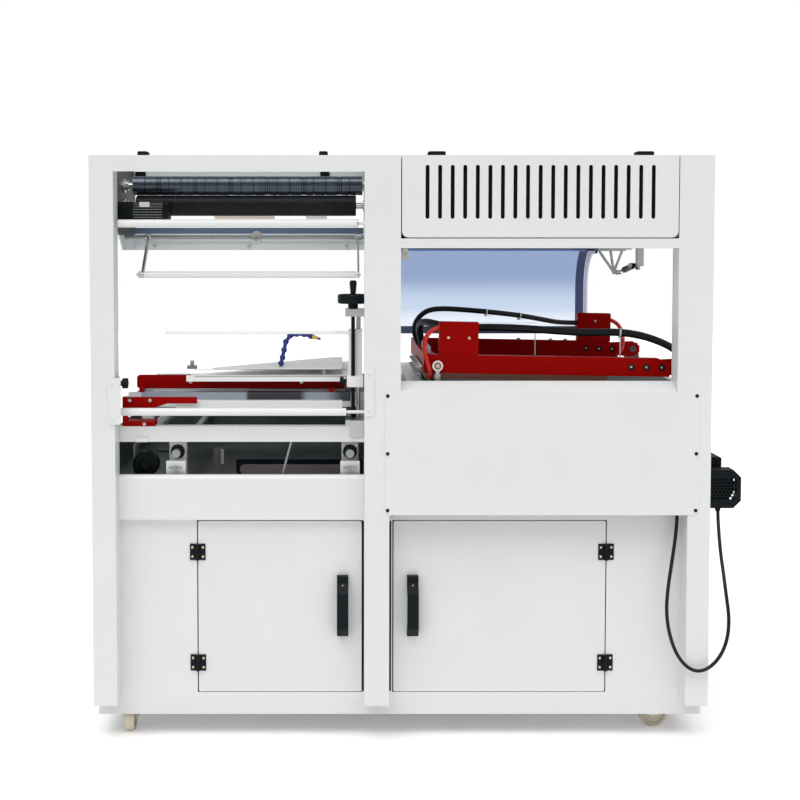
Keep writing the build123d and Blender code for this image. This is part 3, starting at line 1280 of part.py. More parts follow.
near_frame()
lower_cabinet()
skirt()
upper_cabinet()
vent_panel()
cover_panels()
doors()
castors()
save("tower_frame", tower_frame())
perforating_roller()
film_rollers()
film_motor()
dancer()
guide_rods()
post_plates()
handwheel()
height_column()
folding_carriage()
knobs()
infeed()
air_nozzle()
jaw()
jaw_supports()
lift_rods()
discharge()
drive_motor()
hood()
hood_brackets()
gas_spring()
estop_button()
hoses()
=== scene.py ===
import math
import bmesh
import bpy
from mathutils import Matrix, Vector


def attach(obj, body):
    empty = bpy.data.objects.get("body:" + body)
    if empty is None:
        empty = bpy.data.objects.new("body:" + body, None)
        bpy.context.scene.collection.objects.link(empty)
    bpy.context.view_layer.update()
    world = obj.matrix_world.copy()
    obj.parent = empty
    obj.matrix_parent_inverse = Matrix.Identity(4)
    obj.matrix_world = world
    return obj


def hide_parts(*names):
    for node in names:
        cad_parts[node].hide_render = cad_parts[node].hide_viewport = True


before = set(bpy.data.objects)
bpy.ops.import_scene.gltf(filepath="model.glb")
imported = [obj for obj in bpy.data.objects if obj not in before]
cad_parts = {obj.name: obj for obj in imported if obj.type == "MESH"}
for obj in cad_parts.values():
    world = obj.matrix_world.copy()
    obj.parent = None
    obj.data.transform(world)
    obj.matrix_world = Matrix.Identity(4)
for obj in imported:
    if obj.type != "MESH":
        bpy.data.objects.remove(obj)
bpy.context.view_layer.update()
scene = bpy.context.scene
scene.view_settings.view_transform = "Standard"

# ---------------------------------------------------------------- camera
camera_data = bpy.data.cameras.new("camera")
camera_data.sensor_width = 36.0
camera_data.lens = 54.0
camera_data.shift_x = 0.0688
camera_data.shift_y = -0.1172
camera_data.clip_end = 40.0
camera = bpy.data.objects.new("camera", camera_data)
camera.location = (-0.205, -3.415, 1.259)
camera.rotation_euler = (math.radians(90 - 2.68), 0, 0)
scene.collection.objects.link(camera)
scene.camera = camera


# ---------------------------------------------------------------- cords
def cord(node, points, diameter, body):
    """Free cord of a CAD node, on the same given points."""
    curve = bpy.data.curves.new(node + "_line", "CURVE")
    curve.dimensions = "3D"
    curve.bevel_depth = 1.0
    curve.bevel_resolution = 5
    curve.resolution_u = 10
    curve.use_fill_caps = True
    spline = curve.splines.new("NURBS")
    spline.points.add(len(points) - 1)
    for point, place in zip(spline.points, points):
        point.co = (place[0], place[1], place[2], 1)
        point.radius = diameter / 2
    spline.order_u = 3
    spline.use_endpoint_u = True
    piece = bpy.data.objects.new(node + "_cord", curve)
    scene.collection.objects.link(piece)
    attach(piece, body)
    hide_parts(node)
    return piece


upper_hose = cord("hose_upper", [
    (0.008, 0.030, 0.9875), (-0.004, 0.027, 1.011), (-0.007, 0.024, 1.037), (0.002, 0.021, 1.061),
    (0.020, 0.017, 1.080), (0.044, 0.014, 1.090), (0.080, 0.012, 1.092), (0.130, 0.014, 1.089),
    (0.195, 0.026, 1.083), (0.262, 0.056, 1.075), (0.324, 0.100, 1.065), (0.382, 0.150, 1.053),
    (0.432, 0.202, 1.042), (0.472, 0.252, 1.037), (0.514, 0.297, 1.034)], 0.015, "jaw")
lower_hose = cord("hose_lower", [
    (0.016, -0.024, 0.9875), (0.008, -0.031, 1.014), (0.003, -0.048, 1.039), (0.005, -0.076, 1.056),
    (0.017, -0.110, 1.062), (0.041, -0.147, 1.058), (0.076, -0.180, 1.052), (0.120, -0.204, 1.051),
    (0.178, -0.214, 1.053), (0.262, -0.217, 1.051), (0.350, -0.216, 1.044), (0.440, -0.215, 1.038),
    (0.524, -0.216, 1.041), (0.590, -0.217, 1.031), (0.638, -0.218, 1.014), (0.670, -0.220, 0.998),
    (0.690, -0.222, 0.981)], 0.020, "jaw")
near_tube = cord("red_tube_near", [
    (0.042, -0.292, 1.058), (0.022, -0.294, 1.052), (0.006, -0.298, 1.034), (0.000, -0.303, 1.010),
    (0.004, -0.310, 0.985), (0.011, -0.315, 0.961), (0.016, -0.314, 0.941), (0.018, -0.302, 0.930)],
    0.012, "jaw")
far_tube = cord("red_tube_far", [
    (0.6145, 0.297, 1.044), (0.632, 0.292, 1.037), (0.645, 0.282, 1.020), (0.650, 0.269, 0.998),
    (0.649, 0.262, 0.974), (0.644, 0.261, 0.953), (0.637, 0.270, 0.940), (0.634, 0.285, 0.938)],
    0.012, "jaw")
motor_cable = cord("motor_lead", [
    (0.790, -0.240, 0.577), (0.789, -0.246, 0.552), (0.786, -0.262, 0.526), (0.780, -0.290, 0.498),
    (0.772, -0.330, 0.466), (0.767, -0.370, 0.428), (0.766, -0.397, 0.380), (0.769, -0.413, 0.330),
    (0.764, -0.422, 0.282), (0.748, -0.427, 0.240), (0.722, -0.429, 0.208), (0.690, -0.430, 0.194),
    (0.660, -0.428, 0.204), (0.634, -0.423, 0.236), (0.616, -0.416, 0.288), (0.610, -0.409, 0.346),
    (0.616, -0.403, 0.406), (0.627, -0.396, 0.468), (0.638, -0.388, 0.534), (0.643, -0.381, 0.588),
    (0.642, -0.371, 0.628), (0.640, -0.356, 0.648)], 0.009, "machine")


# ---------------------------------------------------------------- shader maths
class Wire:
    """A shader value that can be used in sums like a number."""

    def __init__(self, graph, socket):
        self.graph = graph
        self.socket = socket

    def maths(self, operation, *values):
        return self.graph.node("ShaderNodeMath", {"operation": operation}, dict(enumerate(values)))

    def __add__(self, other):
        return self.maths("ADD", self, other)

    def __sub__(self, other):
        return self.maths("SUBTRACT", self, other)

    def __rsub__(self, other):
        return self.maths("SUBTRACT", other, self)

    def __mul__(self, other):
        return self.maths("MULTIPLY", self, other)

    def __truediv__(self, other):
        return self.maths("DIVIDE", self, other)

    def __gt__(self, other):
        return self.maths("GREATER_THAN", self, other)

    def __lt__(self, other):
        return self.maths("LESS_THAN", self, other)

    __radd__ = __add__
    __rmul__ = __mul__

    def clamped(self):
        return self.maths("MULTIPLY", self.maths("MINIMUM", self.maths("MAXIMUM", self, 0.0), 1.0), 1.0)

    def smooth(self, low, high):
        """0 below low, 1 above high, easy in between."""
        return self.graph.node("ShaderNodeMapRange", {"interpolation_type": "SMOOTHSTEP"},
                               {"Value": self, "From Min": low, "From Max": high})


class Graph:
    """One material and the nodes added to it."""

    def __init__(self, name):
        self.material = bpy.data.materials.new(name)
        self.material.use_nodes = True
        self.tree = self.material.node_tree
        self.shader = self.tree.nodes["Principled BSDF"]
        self.output = self.tree.nodes["Material Output"]

    def node(self, kind, settings=None, inputs=None, output=0):
        made = self.tree.nodes.new(kind)
        for key, value in (settings or {}).items():
            setattr(made, key, value)
        for key, value in (inputs or {}).items():
            self.feed(made, key, value)
        return Wire(self, made.outputs[output])

    def feed(self, made, key, value):
        if isinstance(value, Wire):
            self.tree.links.new(value.socket, made.inputs[key])
        elif isinstance(value, tuple) and len(value) == 3 and made.inputs[key].type == "RGBA":
            made.inputs[key].default_value = (*value, 1.0)
        else:
            made.inputs[key].default_value = value

    def set(self, **values):
        for key, value in values.items():
            self.feed(self.shader, key.replace("_", " "), value)

    def place(self):
        """Position on the object, in metres."""
        return self.node("ShaderNodeTexCoord", output="Object")

    def axis(self, name, source=None):
        return self.node("ShaderNodeSeparateXYZ", {}, {0: source or self.place()}, output=name)

    def noise(self, scale, detail=3.0, roughness=0.55, source=None):
        return self.node("ShaderNodeTexNoise", {}, {"Vector": source or self.place(), "Scale": scale,
                                                    "Detail": detail, "Roughness": roughness})

    def stretched(self, scale):
        return self.node("ShaderNodeVectorMath", {"operation": "MULTIPLY"}, {0: self.place(), 1: scale})

    def mix(self, factor, a, b):
        return self.node("ShaderNodeMix", {"data_type": "RGBA"}, {"Factor": factor, 6: a, 7: b}, output=2)

    def bump(self, height, distance, strength=1.0, normal=None):
        inputs = {"Height": height, "Distance": distance, "Strength": strength}
        if normal is not None:
            inputs["Normal"] = normal
        return self.node("ShaderNodeBump", {}, inputs)


def shade(colour, amount):
    return tuple(channel * amount for channel in colour)


def paint(name, colour, rough=0.38, peel=0.00004, gloss=0.5):
    """Stoved paint: slight unevenness of tone, orange peel and a little dust in it."""
    g = Graph(name)
    tone = g.noise(5.0, 4.0)
    speck = g.noise(900.0, 2.0)
    g.set(Base_Color=g.mix(tone.smooth(0.3, 0.7), shade(colour, 0.975), colour))
    g.set(Roughness=speck * 0.08 + (rough - 0.04), Specular_IOR_Level=gloss)
    g.set(Normal=g.bump(g.noise(420.0, 2.0), peel))
    return g


def metal(name, colour, rough=0.3, grain=(1.0, 1.0, 1.0), depth=0.00001):
    """Ground or turned metal; grain stretches the scratches along one way."""
    g = Graph(name)
    lines = g.noise(1.0, 4.0, 0.6, g.stretched(grain))
    g.set(Base_Color=g.mix(lines.smooth(0.25, 0.75), shade(colour, 0.86), colour), Metallic=1.0)
    g.set(Roughness=lines * 0.16 + (rough - 0.08))
    g.set(Normal=g.bump(lines, depth))
    return g


def plastic(name, colour, rough=0.42, grain=700.0, depth=0.00003, gloss=0.5):
    """Moulded plastic with a fine grain."""
    g = Graph(name)
    fine = g.noise(grain, 3.0)
    g.set(Base_Color=g.mix(g.noise(14.0, 3.0), shade(colour, 0.88), shade(colour, 1.08)))
    g.set(Roughness=fine * 0.14 + (rough - 0.07), Specular_IOR_Level=gloss)
    g.set(Normal=g.bump(fine, depth))
    return g


def ribbed_hose(name, colour, ribs):
    """Corrugated conduit: ribs counted along the curve."""
    g = Graph(name)
    along = g.node("ShaderNodeSeparateXYZ", {}, {0: g.node("ShaderNodeTexCoord", output="UV")}, output="X")
    wave = along.maths("SINE", along * (ribs * 2 * math.pi))
    # The ribs are coloured darker in their troughs and lighter on their crests: painted shade and highlight.
    g.set(Base_Color=g.mix(wave.smooth(-1.0, 1.0), shade(colour, 0.7), shade(colour, 1.1)))
    g.set(Roughness=g.noise(300.0, 2.0) * 0.1 + 0.24, Specular_IOR_Level=0.25)
    g.set(Normal=g.bump(wave, 0.0004))
    return g


def roller_skin(name, y, z, shaft, skin, rough, rim=0.0, gloss=0.5, sheen=0.0):
    """Covered roller with a bare steel shaft: the cover's colour stops at the shaft's radius."""
    g = Graph(name)
    out_y = g.axis("Y") - y
    out_z = g.axis("Z") - z
    radius = (out_y * out_y + out_z * out_z).maths("SQRT", out_y * out_y + out_z * out_z)
    cover = radius > shaft
    worn = g.noise(60.0, 3.0, 0.6, g.stretched((1.0, 0.2, 0.2)))
    surface = g.mix(worn.smooth(0.35, 0.7), skin, shade(skin, 1.5))
    # Inside this radius the grooves are coloured near black: painted shade in the grooves.
    if rim:
        surface = g.mix(radius > rim, shade(skin, 0.04), surface)
    g.set(Base_Color=g.mix(cover, (0.66, 0.66, 0.66), surface), Metallic=1.0 - cover * (1.0 - sheen))
    g.set(Roughness=cover * (rough - 0.25) + 0.25, Specular_IOR_Level=gloss)
    g.set(Normal=g.bump(g.noise(500.0, 2.0), 0.00002))
    return g


def tub_shaded_paint(name, colour, tub_shade):
    """White paint with painted shade inside the tub: a dark colour over the tub's inside."""
    g = paint(name, colour)
    x, y, z = g.axis("X"), g.axis("Y"), g.axis("Z")
    inside = (x > -0.841) * (x < -0.1085) * (y > -0.3555) * (y < 0.4135) * (z > 0.6385) * (z < 0.7665)
    tone = g.mix(g.noise(8.0, 4.0).smooth(0.3, 0.7), shade(tub_shade, 0.7), shade(tub_shade, 1.2))
    g.set(Base_Color=g.mix(inside, colour, tone))
    return g


def tower_shaded_paint(name):
    """Side plates coloured dark as painted shade inside the tower, with light rails across their far ends."""
    # The dark side plate colours here are painted shade.
    g = paint(name, (0.085, 0.094, 0.099), 0.42, gloss=0.3)
    rails = (g.axis("Y") > -0.0955) * (g.axis("X") > -0.7864)
    light = rails.maths("MAXIMUM", rails, g.axis("Z") < 1.298)
    g.set(Base_Color=g.mix(light, g.mix(g.noise(9.0, 3.0), (0.07, 0.078, 0.083), (0.095, 0.103, 0.108)), (0.68, 0.73, 0.73)))
    return g


def belt_with_painted_sheen(name):
    """Dark belt of the infeed, with a painted pale sheen along its left part and in a band near its right end."""
    g = plastic(name, (0.045, 0.05, 0.055), 0.45, 900.0)
    x = g.axis("X")
    # Pale bluish bands: painted sheen.
    sheen_bands = x.smooth(-0.458, -0.470) + x.smooth(-0.326, -0.300) * x.smooth(-0.205, -0.262)
    tone = g.noise(9.0, 3.0)
    g.set(Base_Color=g.mix(sheen_bands, g.mix(tone, (0.035, 0.038, 0.044), (0.055, 0.06, 0.066)),
                           g.mix(tone, (0.33, 0.38, 0.45), (0.39, 0.44, 0.52))))
    return g


def striped_paint(name, colour):
    """White conveyor frame whose near side rail is covered by a dark strip like the belt."""
    g = paint(name, colour)
    x, y, z = g.axis("X"), g.axis("Y"), g.axis("Z")
    strip = (y < -0.205) * (y > -0.268) * (z > 0.8612) * (x > -0.742) * (x < -0.19)
    # The pale bands in the strip are painted sheen, as on the belt.
    sheen_bands = x.smooth(-0.458, -0.470) + x.smooth(-0.326, -0.300) * x.smooth(-0.205, -0.262)
    g.set(Base_Color=g.mix(strip, colour, g.mix(sheen_bands, (0.045, 0.05, 0.056), (0.36, 0.41, 0.48))))
    return g


WHITE = (0.752, 0.764, 0.762)
white_paint = paint("white_paint", WHITE)
# The dark colour given here is painted shade inside the tub.
cabinet_paint = tub_shaded_paint("cabinet_paint", WHITE, (0.052, 0.068, 0.068))
infeed_paint = striped_paint("infeed_paint", WHITE)
plate_white = paint("plate_white", (0.95, 0.95, 0.94), 0.3)
cream_paint = paint("cream_paint", (0.66, 0.60, 0.47), 0.4)
red_paint = paint("red_paint", (0.30, 0.0022, 0.0015), 0.36, 0.00003, 0.03)
tower_shaded_grey = tower_shaded_paint("tower_shaded_grey")
satin = paint("satin_tube", (0.80, 0.81, 0.81), 0.26, 0.00001)
zinc = metal("zinc_plate", (0.66, 0.65, 0.62), 0.36, (30.0, 30.0, 30.0))
steel = metal("ground_steel", (0.60, 0.60, 0.61), 0.30, (6.0, 700.0, 700.0))
chrome = metal("chrome", (0.78, 0.78, 0.79), 0.14, (10.0, 10.0, 400.0), 0.000004)
alloy = metal("alloy", (0.74, 0.74, 0.75), 0.30, (5.0, 500.0, 500.0))
rod_grey = metal("rod_grey", (0.36, 0.37, 0.38), 0.34, (40.0, 40.0, 40.0))
bronze = metal("bronze", (0.42, 0.24, 0.10), 0.35, (50.0, 50.0, 50.0))
dark_steel = metal("dark_steel", (0.10, 0.10, 0.105), 0.45, (40.0, 40.0, 40.0))
black_plastic = plastic("black_plastic", (0.006, 0.009, 0.011), 0.40, 700.0, 0.00003, 0.12)
screw_black = metal("screw_black", (0.035, 0.035, 0.038), 0.35, (60.0, 60.0, 60.0))
rubber = plastic("black_rubber", (0.010, 0.010, 0.011), 0.55, 500.0, 0.00003, 0.25)
feed_skin = roller_skin("feed_skin", -0.245, 1.3757, 0.0085, (0.005, 0.006, 0.008), 0.5, 0.0, 0.2)
# 0.0246 is the radius below which the grooves get painted shade.
cut_skin = roller_skin("cut_skin", -0.245, 1.428, 0.0085, (0.040, 0.055, 0.075), 0.24, 0.0246, 0.9, 0.6)
belt_skin = plastic("belt_skin", (0.07, 0.09, 0.085), 0.6, 900.0)
infeed_belt_skin = belt_with_painted_sheen("infeed_belt_skin")
cream_wheel = plastic("cream_wheel", (0.66, 0.60, 0.46), 0.40, 300.0)
blue_plastic = plastic("blue_plastic", (0.012, 0.028, 0.22), 0.35)
yellow_plastic = plastic("yellow_plastic", (0.75, 0.52, 0.06), 0.35)
red_plastic = plastic("red_plastic", (0.55, 0.01, 0.01), 0.3)
white_plastic = plastic("white_plastic", (0.80, 0.80, 0.78), 0.4)
grey_plastic = plastic("grey_plastic", (0.20, 0.21, 0.22), 0.42)
# Near black used as painted shade behind the vent slots and in the door gaps.
shade_black = plastic("shade_black", (0.010, 0.012, 0.013), 0.8, 300.0, 0.00003, 0.1)
pink_plastic = plastic("pink_plastic", (0.42, 0.35, 0.37), 0.45)
navy_sheet = plastic("navy_sheet", (0.010, 0.018, 0.032), 0.45, 300.0, 0.00003, 0.2)
navy_blue = plastic("navy_blue", (0.115, 0.165, 0.245), 0.4, 300.0, 0.00003, 0.2)
board_grey = paint("board_grey", (0.60, 0.66, 0.665), 0.4)
peach_plastic = plastic("peach_plastic", (0.80, 0.66, 0.56), 0.5)
brass = metal("brass", (0.80, 0.72, 0.46), 0.3, (60.0, 60.0, 60.0))
red_tube = plastic("red_tube", (0.62, 0.016, 0.010), 0.24, 200.0, 0.00001)
tanned = metal("tanned_steel", (0.24, 0.13, 0.09), 0.45, (60.0, 60.0, 60.0))
hose_skin = ribbed_hose("hose_skin", (0.007, 0.009, 0.013), 190)
cable_skin = plastic("cable_skin", (0.008, 0.008, 0.009), 0.4, 300.0, 0.00001, 0.3)


def tinted_sheet():
    """Tinted acrylic lit from behind, coloured darker towards its top as painted shade, with navy end rims and painted
    struts.
    """
    g = Graph("tinted_sheet")
    height, across = g.axis("Z"), g.axis("X")
    # Paler at the bottom and darker towards the top: painted shade.
    colour = g.mix(height.smooth(1.035, 1.085), (0.84, 0.90, 0.98), (0.59, 0.70, 0.87))
    colour = g.mix(height.smooth(1.085, 1.185), colour, (0.31, 0.405, 0.615))
    colour = g.mix((across > 0.522) + (across < -0.088), colour, (0.050, 0.058, 0.125))
    g.set(Base_Color=g.mix(across > 0.5475, colour, (0.45, 0.50, 0.58)), Roughness=g.noise(60.0, 2.0) * 0.02 + 0.02)
    g.set(Normal=g.bump(g.noise(6.0, 1.0), 0.0001), Transmission_Weight=1.0, IOR=1.25)
    painted = g.node("ShaderNodeBsdfPrincipled", {}, {"Roughness": g.noise(420.0, 2.0) * 0.08 + 0.36,
                                                      "Base Color": g.mix(g.noise(5.0), (0.50, 0.54, 0.53), (0.56, 0.60, 0.59))})
    whole = g.node("ShaderNodeMixShader", {}, {0: across > 0.5553, 1: Wire(g, g.shader.outputs[0]), 2: painted})
    g.feed(g.output, "Surface", whole)
    return g


tint = tinted_sheet()

node_looks = {
    "frame": white_paint, "cabinet": cabinet_paint, "skirt": white_paint, "cover_panels": white_paint,
    "upper_cabinet": white_paint, "vent_panel": white_paint, "hinge_leaves": black_plastic, "castor_plates": zinc,
    "tower_frame": tower_shaded_grey, "film_motor": black_plastic, "guide_rods": rod_grey, "post_plates": white_paint,
    "height_column": steel, "infeed_frame": infeed_paint, "infeed_rails": red_paint, "infeed_belt": infeed_belt_skin,
    "discharge_belt": belt_skin, "lower_jaw": dark_steel, "drive_motor": black_plastic, "hood_brackets": zinc,
    "left_door": white_paint, "right_door": white_paint, "left_door_fittings": black_plastic,
    "right_door_fittings": black_plastic, "left_lock": dark_steel, "right_lock": dark_steel, "near_left_fork": zinc,
    "near_right_fork": zinc, "near_left_wheel": cream_wheel, "near_right_wheel": cream_wheel,
    "far_left_wheel": cream_wheel, "far_right_wheel": cream_wheel, "feed_roller": feed_skin,
    "perforating_roller": cut_skin, "upper_guide_roller": satin, "lower_guide_roller": satin, "dancer_arms": steel,
    "dancer_roller": satin, "handwheel": black_plastic, "crank_grip": black_plastic, "folding_carriage": plate_white,
    "column_knob": black_plastic, "left_knob": black_plastic, "infeed_head_roller": alloy,
    "infeed_tail_roller": alloy, "discharge_head_roller": alloy, "discharge_tail_roller": alloy,
    "jaw_frame": red_paint, "sealing_bar": tanned, "lift_rods": zinc, "hood": tint, "spring_cylinder": black_plastic,
    "spring_rod": chrome, "estop_button": red_plastic, "air_nozzle": blue_plastic,
}
for node, look in node_looks.items():
    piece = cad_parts[node]
    if not piece.material_slots:
        piece.data.materials.append(look.material)
    for material_slot in piece.material_slots:
        material_slot.link = "OBJECT"
        material_slot.material = look.material
for piece, look in ((upper_hose, hose_skin), (lower_hose, hose_skin), (near_tube, red_tube), (far_tube, red_tube),
                    (motor_cable, cable_skin)):
    piece.data.materials.append(look.material)




# ---------------------------------------------------------------- ways of making pieces
def reach(kind, angle):
    """How far an outline goes out at an angle, for a round, six-sided or cross-shaped ring."""
    if kind == "hex":
        return 1 / math.cos(angle % (math.pi / 3) - math.pi / 6)
    if kind == "cross":
        return 1.0 if abs((math.degrees(angle) + 45) % 90 - 45) < 14 else 0.36
    return 1.0


def turned(profile, steps=36):
    """Solid of rings (radius, height, kind) round the Z axis, closed at both ends."""
    bm = bmesh.new()
    rings = []
    for radius, height, *kind in profile:
        shape = kind[0] if kind else "round"
        ring = []
        for index in range(steps):
            angle = 2 * math.pi * (index + 0.5) / steps
            out = radius * reach(shape, angle)
            ring.append(bm.verts.new((out * math.cos(angle), out * math.sin(angle), height)))
        rings.append(ring)
    for low, high in zip(rings, rings[1:]):
        for index in range(steps):
            after = (index + 1) % steps
            bm.faces.new((low[index], low[after], high[after], high[index]))
    bm.faces.new(rings[0])
    bm.faces.new(rings[-1])
    return bm


def prism(outline, depth):
    """Flat shape drawn in X and Z, thickened from y = 0 to depth."""
    bm = bmesh.new()
    near = [bm.verts.new((x, 0, z)) for x, z in outline]
    far = [bm.verts.new((x, depth, z)) for x, z in outline]
    bm.faces.new(near)
    bm.faces.new(far)
    for index in range(len(outline)):
        after = (index + 1) % len(outline)
        bm.faces.new((near[index], near[after], far[after], far[index]))
    return bm


def rounded(x0, x1, z0, z1, radius, steps=5):
    """Rectangle with round corners, as points."""
    points = []
    corners = ((x1 - radius, z1 - radius, 0), (x0 + radius, z1 - radius, 90),
               (x0 + radius, z0 + radius, 180), (x1 - radius, z0 + radius, 270))
    for cx, cz, first in corners:
        for index in range(steps + 1):
            angle = math.radians(first + 90 * index / steps)
            points.append((cx + radius * math.cos(angle), cz + radius * math.sin(angle)))
    return points


def facing(axis):
    """Turn that points a piece's own Z along an axis."""
    return Vector(axis).to_track_quat("Z", "Y").to_matrix().to_4x4()


def at(place, axis=(0, 0, 1), spin=0.0):
    return Matrix.Translation(place) @ facing(axis) @ Matrix.Rotation(math.radians(spin), 4, "Z")


def joined(*parts):
    """One mesh from several (mesh, matrix) pairs."""
    whole = bmesh.new()
    for bm, matrix in parts:
        mesh = bpy.data.meshes.new("part")
        bm.to_mesh(mesh)
        mesh.transform(matrix)
        whole.from_mesh(mesh)
        bpy.data.meshes.remove(mesh)
    return whole


def piece(name, bm, look, body="machine", edge=0.0, smooth=35, replaces=()):
    bmesh.ops.recalc_face_normals(bm, faces=bm.faces)
    mesh = bpy.data.meshes.new(name)
    bm.to_mesh(mesh)
    bm.free()
    mesh.materials.append(look.material)
    for polygon in mesh.polygons:
        polygon.use_smooth = True
    mesh.set_sharp_from_angle(angle=math.radians(smooth))
    made = bpy.data.objects.new(name, mesh)
    scene.collection.objects.link(made)
    if edge:
        rim = made.modifiers.new("edge", "BEVEL")
        rim.width = edge
        rim.segments = 2
        rim.limit_method = "ANGLE"
        rim.angle_limit = math.radians(35)
    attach(made, body)
    if replaces:
        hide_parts(*replaces)
    return made


def pan_head(radius, height):
    return turned([(radius, 0), (radius, height * 0.35), (radius * 0.86, height * 0.8), (radius * 0.6, height),
                   (radius * 0.5, height, "cross"), (radius * 0.44, height * 0.45, "cross")])


def cap_head(radius, height):
    return turned([(radius, 0), (radius, height - 0.0006), (radius - 0.0006, height),
                   (radius * 0.52, height, "hex"), (radius * 0.50, height * 0.4, "hex")])


def hex_nut(radius, height):
    return turned([(radius, 0, "hex"), (radius, height, "hex"), (radius * 0.55, height), (radius * 0.5, height * 0.5)])


def copies(maker, places, axis):
    """The same small part at several places."""
    return joined(*[(maker(), at(place, axis, 17 * index)) for index, place in enumerate(places)])


def flat_box(x0, x1, y0, y1, z0, z1, radius=0.002):
    """Plate or block with rounded corners seen from the service side."""
    return prism(rounded(x0, x1, z0, z1, radius, 3), y1 - y0), Matrix.Translation((0, y0, 0))


TOWARDS = (0, -1, 0)
AWAY = (0, 1, 0)


def block(name, x, y, z, look, body="machine", radius=0.002, edge=0.0005):
    """Plate or block between limits, with round corners seen from the service side."""
    bm = prism(rounded(*x, *z, radius, 3), y[1] - y[0])
    bm.transform(Matrix.Translation((0, y[0], 0)))
    return piece(name, bm, look, body, edge=edge)


def fasteners(name, maker, places, look, axis=TOWARDS, body="machine"):
    return piece(name, copies(maker, places, axis), look, body)


def ring(outer, inner, height):
    return turned([(inner, 0), (outer, 0), (outer, height * 0.8), (outer - height * 0.2, height),
                   (inner + height * 0.1, height), (inner, height * 0.9)])


# ---------------------------------------------------------------- screws and bolts
piece("cover_screws", copies(lambda: pan_head(0.0046, 0.0022), [
    (x, -0.4170, z) for x in (-0.0975, 0.679) for z in (0.603, 0.747, 0.893)], TOWARDS), screw_black)
for side, hinge_x, body in ((1, -0.584, "left_door"), (-1, 0.467, "right_door")):
    for name, offset, y, rider in (("leaf", side * 0.0135, -0.3605, body), ("frame", side * -0.0135, -0.3595, "machine")):
        spots = [(hinge_x + offset, y, z + dz) for z in (0.194, 0.483) for dz in (-0.012, 0.012)]
        piece(f"{body}_{name}_screws", copies(lambda: pan_head(0.0032, 0.0012), spots, TOWARDS), brass, rider)
piece("near_jaw_bolts", copies(lambda: cap_head(0.0082, 0.008), [
    (x, -0.294, 0.9525 + (0.690 - x) * 0.0175) for x in (0.54, 0.58, 0.62)], TOWARDS), screw_black, "jaw")
piece("far_jaw_bolts", copies(lambda: cap_head(0.0082, 0.008), [
    (x, 0.294, 0.9525 + (0.690 - x) * 0.0175) for x in (0.54, 0.58, 0.62)], TOWARDS), screw_black, "jaw")
for side, y in (("near", -0.3014), ("far", 0.2866)):
    fasteners(f"{side}_jaw_bolt_sockets", lambda: turned([(0.0030, 0), (0.0030, 0.0008), (0.0012, 0.0012)]), [
        (x, y, 0.9525 + (0.690 - x) * 0.0175) for x in (0.54, 0.58, 0.62)], zinc, body="jaw")
piece("near_box_screws", copies(lambda: pan_head(0.0042, 0.0022), [
    (0.064, -0.304, 1.032), (0.118, -0.304, 1.031)], TOWARDS), brass, "jaw")
piece("far_box_screws", copies(lambda: pan_head(0.0042, 0.0022), [(0.567, 0.284, 1.040)], TOWARDS), zinc, "jaw")

# ---------------------------------------------------------------- hoses' ties
def line_of(cord_piece):
    """The points along a cord's own line."""
    bare = cord_piece.data.copy()
    bare.bevel_depth = 0.0
    bare.use_fill_caps = False
    holder = bpy.data.objects.new("bare", bare)
    scene.collection.objects.link(holder)
    bpy.context.view_layer.update()
    mesh = bpy.data.meshes.new_from_object(holder)
    points = [vertex.co.copy() for vertex in mesh.vertices]
    bpy.data.objects.remove(holder)
    return points


def tie(name, cord_piece, x, radius, look, body):
    """Cable tie round a hose at a given x: a thin band with its square lock and a short tail."""
    points = line_of(cord_piece)
    index = min(range(len(points) - 1), key=lambda place: abs(points[place].x - x) + (points[place].x < 0.02))
    here, along = points[index], points[index + 1] - points[index]
    band = turned([(radius, -0.0022), (radius + 0.0013, -0.0020), (radius + 0.0013, 0.0020), (radius, 0.0022)])
    lock = prism(rounded(-0.003, 0.003, -0.0035, 0.0035, 0.001, 2), 0.005)
    tail = prism([(-0.0012, 0.0), (0.0012, 0.0), (0.0008, 0.022), (-0.0008, 0.022)], 0.001)
    made = joined((band, Matrix()), (lock, Matrix.Translation((0, -radius - 0.0055, 0))),
                  (tail, Matrix.Translation((0, -radius - 0.004, 0.002))))
    made.transform(at(here, along))
    piece(name, made, look, body, edge=0.0003)


tie("hose_tie_1", upper_hose, 0.202, 0.0076, white_plastic, "jaw")
tie("hose_tie_2", upper_hose, 0.305, 0.0076, white_plastic, "jaw")
tie("hose_tie_3", lower_hose, 0.531, 0.0101, white_plastic, "jaw")

# ---------------------------------------------------------------- cabinet
# Black sheet behind the vent slots: painted shade inside the upper cabinet.
block("vent_shade_sheet", (-0.058, 0.616), (-0.404, -0.402), (1.300, 1.487), shade_black, radius=0.006)
# Thin black strips in the door gaps: painted shade of the gaps.
block("left_door_gap_shade", (-0.1600, -0.1562), (-0.3574, -0.3568), (0.119, 0.563), shade_black, radius=0.0003, edge=0)
block("right_door_gap_shade", (-0.0928, -0.0860), (-0.3574, -0.3568), (0.119, 0.563), shade_black, radius=0.0003, edge=0)
for side, door, grip_x in ((1, "left_door", -0.211), (-1, "right_door", -0.031)):
    head = turned([(0.0118, 0), (0.0118, 0.0012), (0.0104, 0.0020), (0.0092, 0.0020), (0.0090, 0.0008)])
    head.transform(at((grip_x, -0.3750, 0.397), TOWARDS))
    piece(f"{door}_lock_ring", head, screw_black, door, edge=0.0002)
    block(f"{door}_key_slot", (grip_x - 0.0012, grip_x + 0.0012), (-0.3762, -0.3755), (0.3935, 0.4015), chrome, door,
          0.0006, 0)
    fasteners(f"{door}_handle_screws", lambda: cap_head(0.0042, 0.0030), [(grip_x, -0.3719, 0.280)], screw_black,
              body=door)

